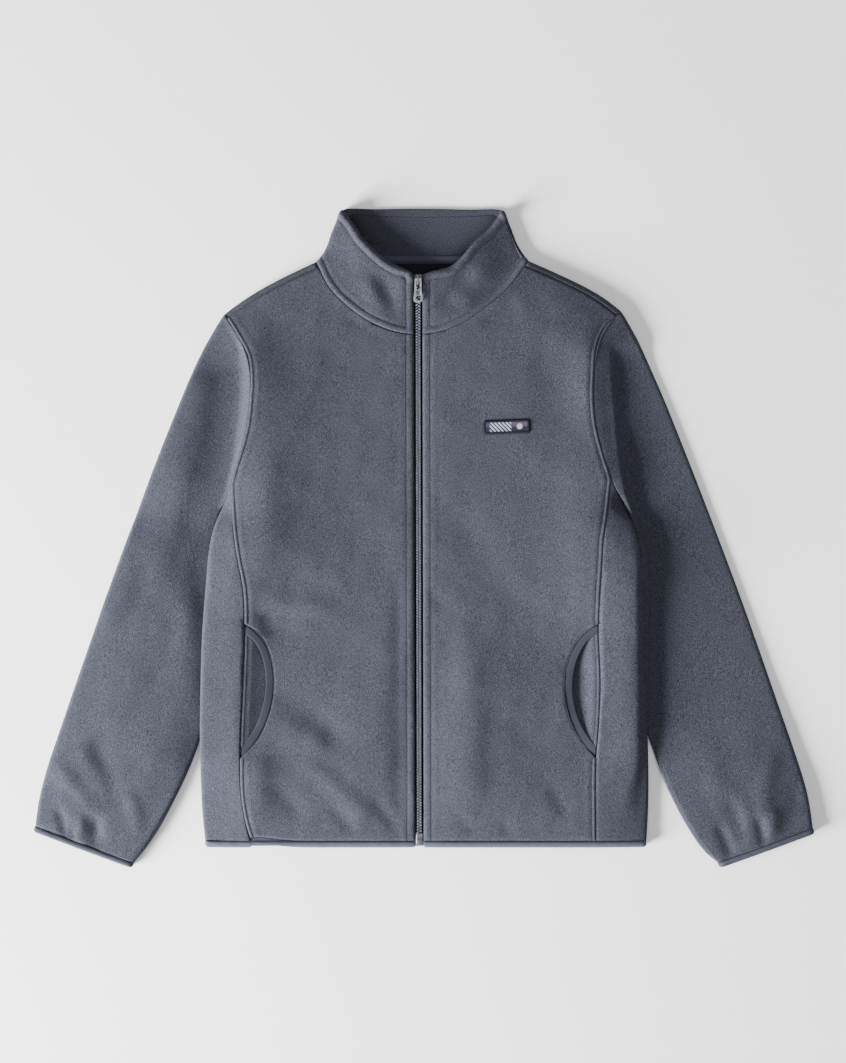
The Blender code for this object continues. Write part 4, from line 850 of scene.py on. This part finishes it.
# Zip -------------------------------------------------------------------------------------------
# Woven tapes sewn under the front edges, with a coil of nylon on each that meshes down the
# middle, a die-cast slider with its pull tab, and a box at the foot.
tape_weave = Finish("zip tape", Roughness=0.9, Specular_IOR_Level=0.04)
weave = tape_weave.node("TexWave", {"wave_type": "BANDS", "bands_direction": "DIAGONAL"},
                        {"Vector": tape_weave.place(), "Scale": 420.0, "Distortion": 0.6})
tape_weave.feed("Base Color", tape_weave.blend(weave, (0.002, 0.002, 0.004),
                                               (0.007, 0.007, 0.011)))
tape_weave.bump(weave, 0.0004, 0.6)
coil_plastic = Finish("zip coil", Roughness=0.6, Specular_IOR_Level=0.15)
speck = coil_plastic.noise(500, 2.0, 0.5)
coil_plastic.feed("Base Color", coil_plastic.blend(speck.step(0.3, 0.7), (0.10, 0.107, 0.135),
                                                   (0.28, 0.30, 0.36)))
chain_low, chain_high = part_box("zip_chain")
graph = bpy.context.evaluated_depsgraph_get()
chain_tree = BVHTree.FromObject(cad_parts["zip_chain"], graph)
# Each turn of the coil shows as a slanted bead: its half sizes, its place and its slant.
PITCH, TURN_HALF, TURN_OUT, TURN_RISE, TURN_SLANT = 3.4, (1.8, 0.5, 0.6), 1.5, 0.25, 36.0
coil = bmesh.new()
rows = int((chain_high.y - chain_low.y) / MM / PITCH)
for step in range(rows):
    for sign in (-1, 1):
        y = chain_low.y / MM + 1.0 + PITCH * (step + (0.5 if sign > 0 else 0))
        x = zip_x(y) + sign * TURN_OUT
        hit = chain_tree.ray_cast(Vector((x * MM, y * MM, 0.1)), Vector((0, 0, -1)))[0]
        if hit is None:
            continue
        place = (Matrix.Translation(hit + Vector((0, 0, TURN_RISE * MM)))
                 @ Matrix.Rotation(-sign * math.radians(TURN_SLANT), 4, "Z")
                 @ Matrix.Diagonal((*(half * MM for half in TURN_HALF), 1)))
        bmesh.ops.create_icosphere(coil, subdivisions=2, radius=1, matrix=place)
dress(placed(coil, "zip_coil"), "zip_coil", coil_plastic.material)


def repaint(node, material):
    """Gives a carried-over solid its finish."""
    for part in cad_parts[node].material_slots:
        part.material = material


core = Finish("zip core", Roughness=0.9, Specular_IOR_Level=0.03)
core.feed("Base Color", core.blend(core.noise(700), (0.003, 0.003, 0.006), (0.008, 0.008, 0.013)))
repaint("zip_chain", core.material)
for side in SIGN:
    tape = dress(fine_copy("zip_tape_" + side, 1), "zip_tape_" + side + "_cloth",
                 tape_weave.material, ["zip_tape_" + side])


def metal_finish(name, dark, pale, rough):
    """Die-cast metal with faint casting marks and handling scuffs."""
    made = Finish(name, Metallic=1.0)
    scuff = made.noise(260, 4.0, 0.6)
    made.feed("Base Color", made.blend(scuff.step(0.3, 0.7), dark, pale))
    made.feed("Roughness", scuff * 0.18 + rough)
    made.bump(made.noise(1500, 2.0), 0.0002, 0.3)
    return made.material


bright_metal = metal_finish("bright metal", (0.07, 0.072, 0.08), (0.24, 0.25, 0.27), 0.34)
dark_metal = metal_finish("dark metal", (0.018, 0.018, 0.022), (0.12, 0.12, 0.13), 0.30)
repaint("zip_box", bright_metal)


def eased_copy(node, name, ease):
    """A copy of a metal piece with its sharp edges eased."""
    mesh = bmesh.new()
    mesh.from_mesh(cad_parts[node].data)
    bmesh.ops.remove_doubles(mesh, verts=mesh.verts, dist=0.005 * MM)
    bmesh.ops.dissolve_limit(mesh, angle_limit=math.radians(1.5), verts=mesh.verts,
                             edges=mesh.edges)
    corners = [edge for edge in mesh.edges
               if edge.is_manifold and edge.calc_face_angle() > math.radians(35)]
    bmesh.ops.bevel(mesh, geom=corners, offset=ease * MM, segments=2, profile=0.5,
                    affect="EDGES", material=-1, clamp_overlap=True)
    return placed(mesh, name)


# The bail over the slider is bright, and its painted body dark.
BAIL_FOOT = 21.8
slider = eased_copy("zip_slider", "zip_slider_metal", 0.14)
dress(slider, "zip_slider_metal", dark_metal, ["zip_slider"])
slider.data.materials.append(bright_metal)
for face in slider.data.polygons:
    face.material_index = int(face.center.z > BAIL_FOOT * MM)

# The tab has a bright rim round a duller, sunk panel between its slot and its hole.
TAB_PANEL, PANEL_HALF = (-7.08, 291.7), (2.5, 2.5)
tab_metal = Finish("tab metal", Metallic=1.0)
scuff = tab_metal.noise(260, 4.0, 0.6)
where = tab_metal.node("SeparateXYZ", inputs={0: tab_metal.place()})
down = Signal(tab_metal, where.socket.node.outputs[1])
panel_mask = 1 - tab_metal.math("MAXIMUM",
                                tab_metal.math("ABSOLUTE", where - TAB_PANEL[0] * MM)
                                / (PANEL_HALF[0] * MM),
                                tab_metal.math("ABSOLUTE", down - TAB_PANEL[1] * MM)
                                / (PANEL_HALF[1] * MM)).step(0.85, 1.0)
shine = tab_metal.blend(scuff.step(0.3, 0.7), (0.17, 0.175, 0.195), (0.32, 0.33, 0.36))
tab_metal.feed("Base Color", tab_metal.blend(panel_mask, shine, (0.085, 0.09, 0.11)))
tab_metal.feed("Roughness", scuff * 0.15 + panel_mask * 0.2 + 0.3)
tab_metal.bump(1 - panel_mask, 0.0003, 0.9)
dress(eased_copy("zip_pull_tab", "zip_pull_tab_metal", 0.3), "zip_pull_tab_metal",
      tab_metal.material, ["zip_pull_tab"], "pull_tab")


# Label -----------------------------------------------------------------------------------------
# Small woven patch on the wearer's left breast, with an overlocked border. Its field goes from
# slate to lilac, with a row of pale slanted bars at one end and a pale dot at the other.
LABEL_CENTRE, LABEL_SIZE, LABEL_TURN = (98.4, 132.5), (56.5, 17.5), math.radians(2)
LABEL_CORNER, BORDER, PATCH_WALL = 4.2, 3.6, 1.0
patch = bmesh.new()
bmesh.ops.create_grid(patch, x_segments=56, y_segments=20, size=0.5)
half = Vector(LABEL_SIZE) / 2
chest = top_tree(fronts["left"])
turn = Matrix.Rotation(LABEL_TURN, 2)
across, up, rim = [], [], []
for point in patch.verts:
    flat = Vector((point.co.x * 2 * half.x, point.co.y * 2 * half.y))
    core = Vector((max(min(flat[k], half[k] - LABEL_CORNER), LABEL_CORNER - half[k])
                   for k in range(2)))
    if (flat - core).length > LABEL_CORNER:
        flat = core + (flat - core).normalized() * LABEL_CORNER
    inset = LABEL_CORNER - (flat - core).length
    if (flat - core).length == 0:
        inset = min(half.x - abs(flat.x), half.y - abs(flat.y))
    x, y = turn @ flat + Vector(LABEL_CENTRE)
    ridge = 0.3 * math.sin(math.pi * min(inset / BORDER, 1.0)) if inset < BORDER else 0.0
    z = height_on(chest, x, y) + PATCH_WALL * (1.0 if inset > 0.1 else 0.35) + ridge
    point.co = (x * MM, y * MM, z * MM)
    across.append(flat.x)
    up.append(flat.y)
    rim.append(inset)
badge = placed(patch, "label_cloth")
for name, values in (("across", across), ("up", up), ("rim", rim)):
    write_value(badge, name, values)
thickness = badge.modifiers.new("wall", "SOLIDIFY")
thickness.thickness, thickness.offset = PATCH_WALL * MM, -1.0

BARS_FROM, BARS_TO, BAR_PITCH, DOT_AT, DOT_RADIUS = -20.0, 5.5, 4.6, 15.5, 3.4
woven = Finish("label", Roughness=0.75, Specular_IOR_Level=0.12)
across, up, rim = woven.value("across"), woven.value("up"), woven.value("rim")
ribs = woven.math("SINE", across * 7.0) * 0.5 + 0.5
picks = woven.math("SINE", up * 16.0) * 0.5 + 0.5
sky = woven.blend((across / 50.0 + up / 26.0 + 0.5).step(0.2, 1.1), (0.030, 0.040, 0.085),
                  (0.070, 0.058, 0.100))
ground = woven.blend((up + 0.4).step(0.0, 0.6), (0.016, 0.018, 0.032), sky)
slant = (across + up * 0.9) / BAR_PITCH + 100.0
bars = (woven.math("ABSOLUTE", woven.math("FRACT", slant) - 0.5) * 2.0).step(0.42, 0.62)
bars = (bars * across.step(BARS_FROM - 0.5, BARS_FROM + 0.5)
        * (1 - across.step(BARS_TO - 0.5, BARS_TO + 0.5)))
dot_x, dot_y = across - DOT_AT, up
dot = 1 - woven.math("SQRT", dot_x * dot_x + dot_y * dot_y).step(DOT_RADIUS - 0.3,
                                                                 DOT_RADIUS + 0.3)
art = woven.blend(bars, ground, (0.36, 0.38, 0.44))
art = woven.blend(dot * 0.9, art, (0.40, 0.40, 0.46))
art = woven.blend(picks * 0.25, art, (0.02, 0.022, 0.035))
overlock = woven.blend(ribs, (0.003, 0.003, 0.005), (0.011, 0.012, 0.018))
border = 1 - rim.step(BORDER - 0.35, BORDER + 0.1)
woven.feed("Base Color", woven.blend(border, art, overlock))
woven.bump(ribs * border + picks * (1 - border) * 0.4, 0.0003, 0.7)
dress(badge, "label_cloth", woven.material, ["chest_label"])


# Neck tape -------------------------------------------------------------------------------------
# Narrow tape that covers the back neck seam inside the collar.
tape = fine_copy("neck_tape", 3, sharp=0.4)
wall = points_of(tape)
wall[:, 1] -= 2.2 * soft((336 - wall[:, 1]) / 4)
set_points(tape, wall)
tape_low, tape_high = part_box("neck_tape")
middle = (tape_low.y + tape_high.y) / 2 / MM
plump(tape, np.array([(-110.0, middle), (110.0, middle)]), 4.0, 0.9, lambda z: np.ones(len(z)))
dress(tape, "neck_tape_cloth", binding_finish("neck tape", 1.2), ["neck_tape"])


# Setting ---------------------------------------------------------------------------------------
# A pale floor, one wide soft light low at the left and a weaker one overhead to fill, with
# the camera straight above.
FLOOR_HALF, FLOOR_Z = 3.0, -0.0004
floor_mesh = bmesh.new()
bmesh.ops.create_grid(floor_mesh, x_segments=1, y_segments=1, size=FLOOR_HALF)
bmesh.ops.translate(floor_mesh, verts=floor_mesh.verts, vec=(0, 0, FLOOR_Z))
floor = placed(floor_mesh, "floor")
paper = Finish("floor", Roughness=0.9)
mottle = paper.noise(3.0, 2.0)
paper.feed("Base Color", paper.blend(mottle.step(0.3, 0.7), (0.925, 0.92, 0.915),
                                     (0.935, 0.93, 0.925)))
floor.data.materials.append(paper.material)


def lamp(name, place, size, watts, colour):
    """A soft light that looks at the middle of the jacket."""
    light = bpy.data.lights.new(name, "AREA")
    light.shape = "RECTANGLE"
    light.size, light.size_y = size
    light.energy = watts
    light.color = colour
    made = bpy.data.objects.new(name, light)
    made.location = place
    made.rotation_euler = (-Vector(place)).to_track_quat("-Z", "Y").to_euler()
    bpy.context.scene.collection.objects.link(made)


lamp("key", place=(-2.95, -1.6, 1.0), size=(1.6, 1.6), watts=1080, colour=(1.0, 0.99, 0.98))
lamp("fill", place=(0.4, 0.3, 2.4), size=(2.4, 2.4), watts=34, colour=(0.97, 0.985, 1.0))
world = bpy.data.worlds.new("studio")
world.use_nodes = True
backdrop = world.node_tree.nodes["Background"].inputs
backdrop["Color"].default_value = (0.95, 0.97, 1.0, 1.0)
backdrop["Strength"].default_value = 0.3
bpy.context.scene.world = world

view = bpy.data.cameras.new("camera")
view.sensor_fit = "VERTICAL"
view.sensor_height = 36
view.lens = 62
camera = bpy.data.objects.new("camera", view)
camera.location = (-0.0012, 0.0078, 2.199)
camera.rotation_euler = (0, 0, 0)
bpy.context.scene.collection.objects.link(camera)
bpy.context.scene.camera = camera
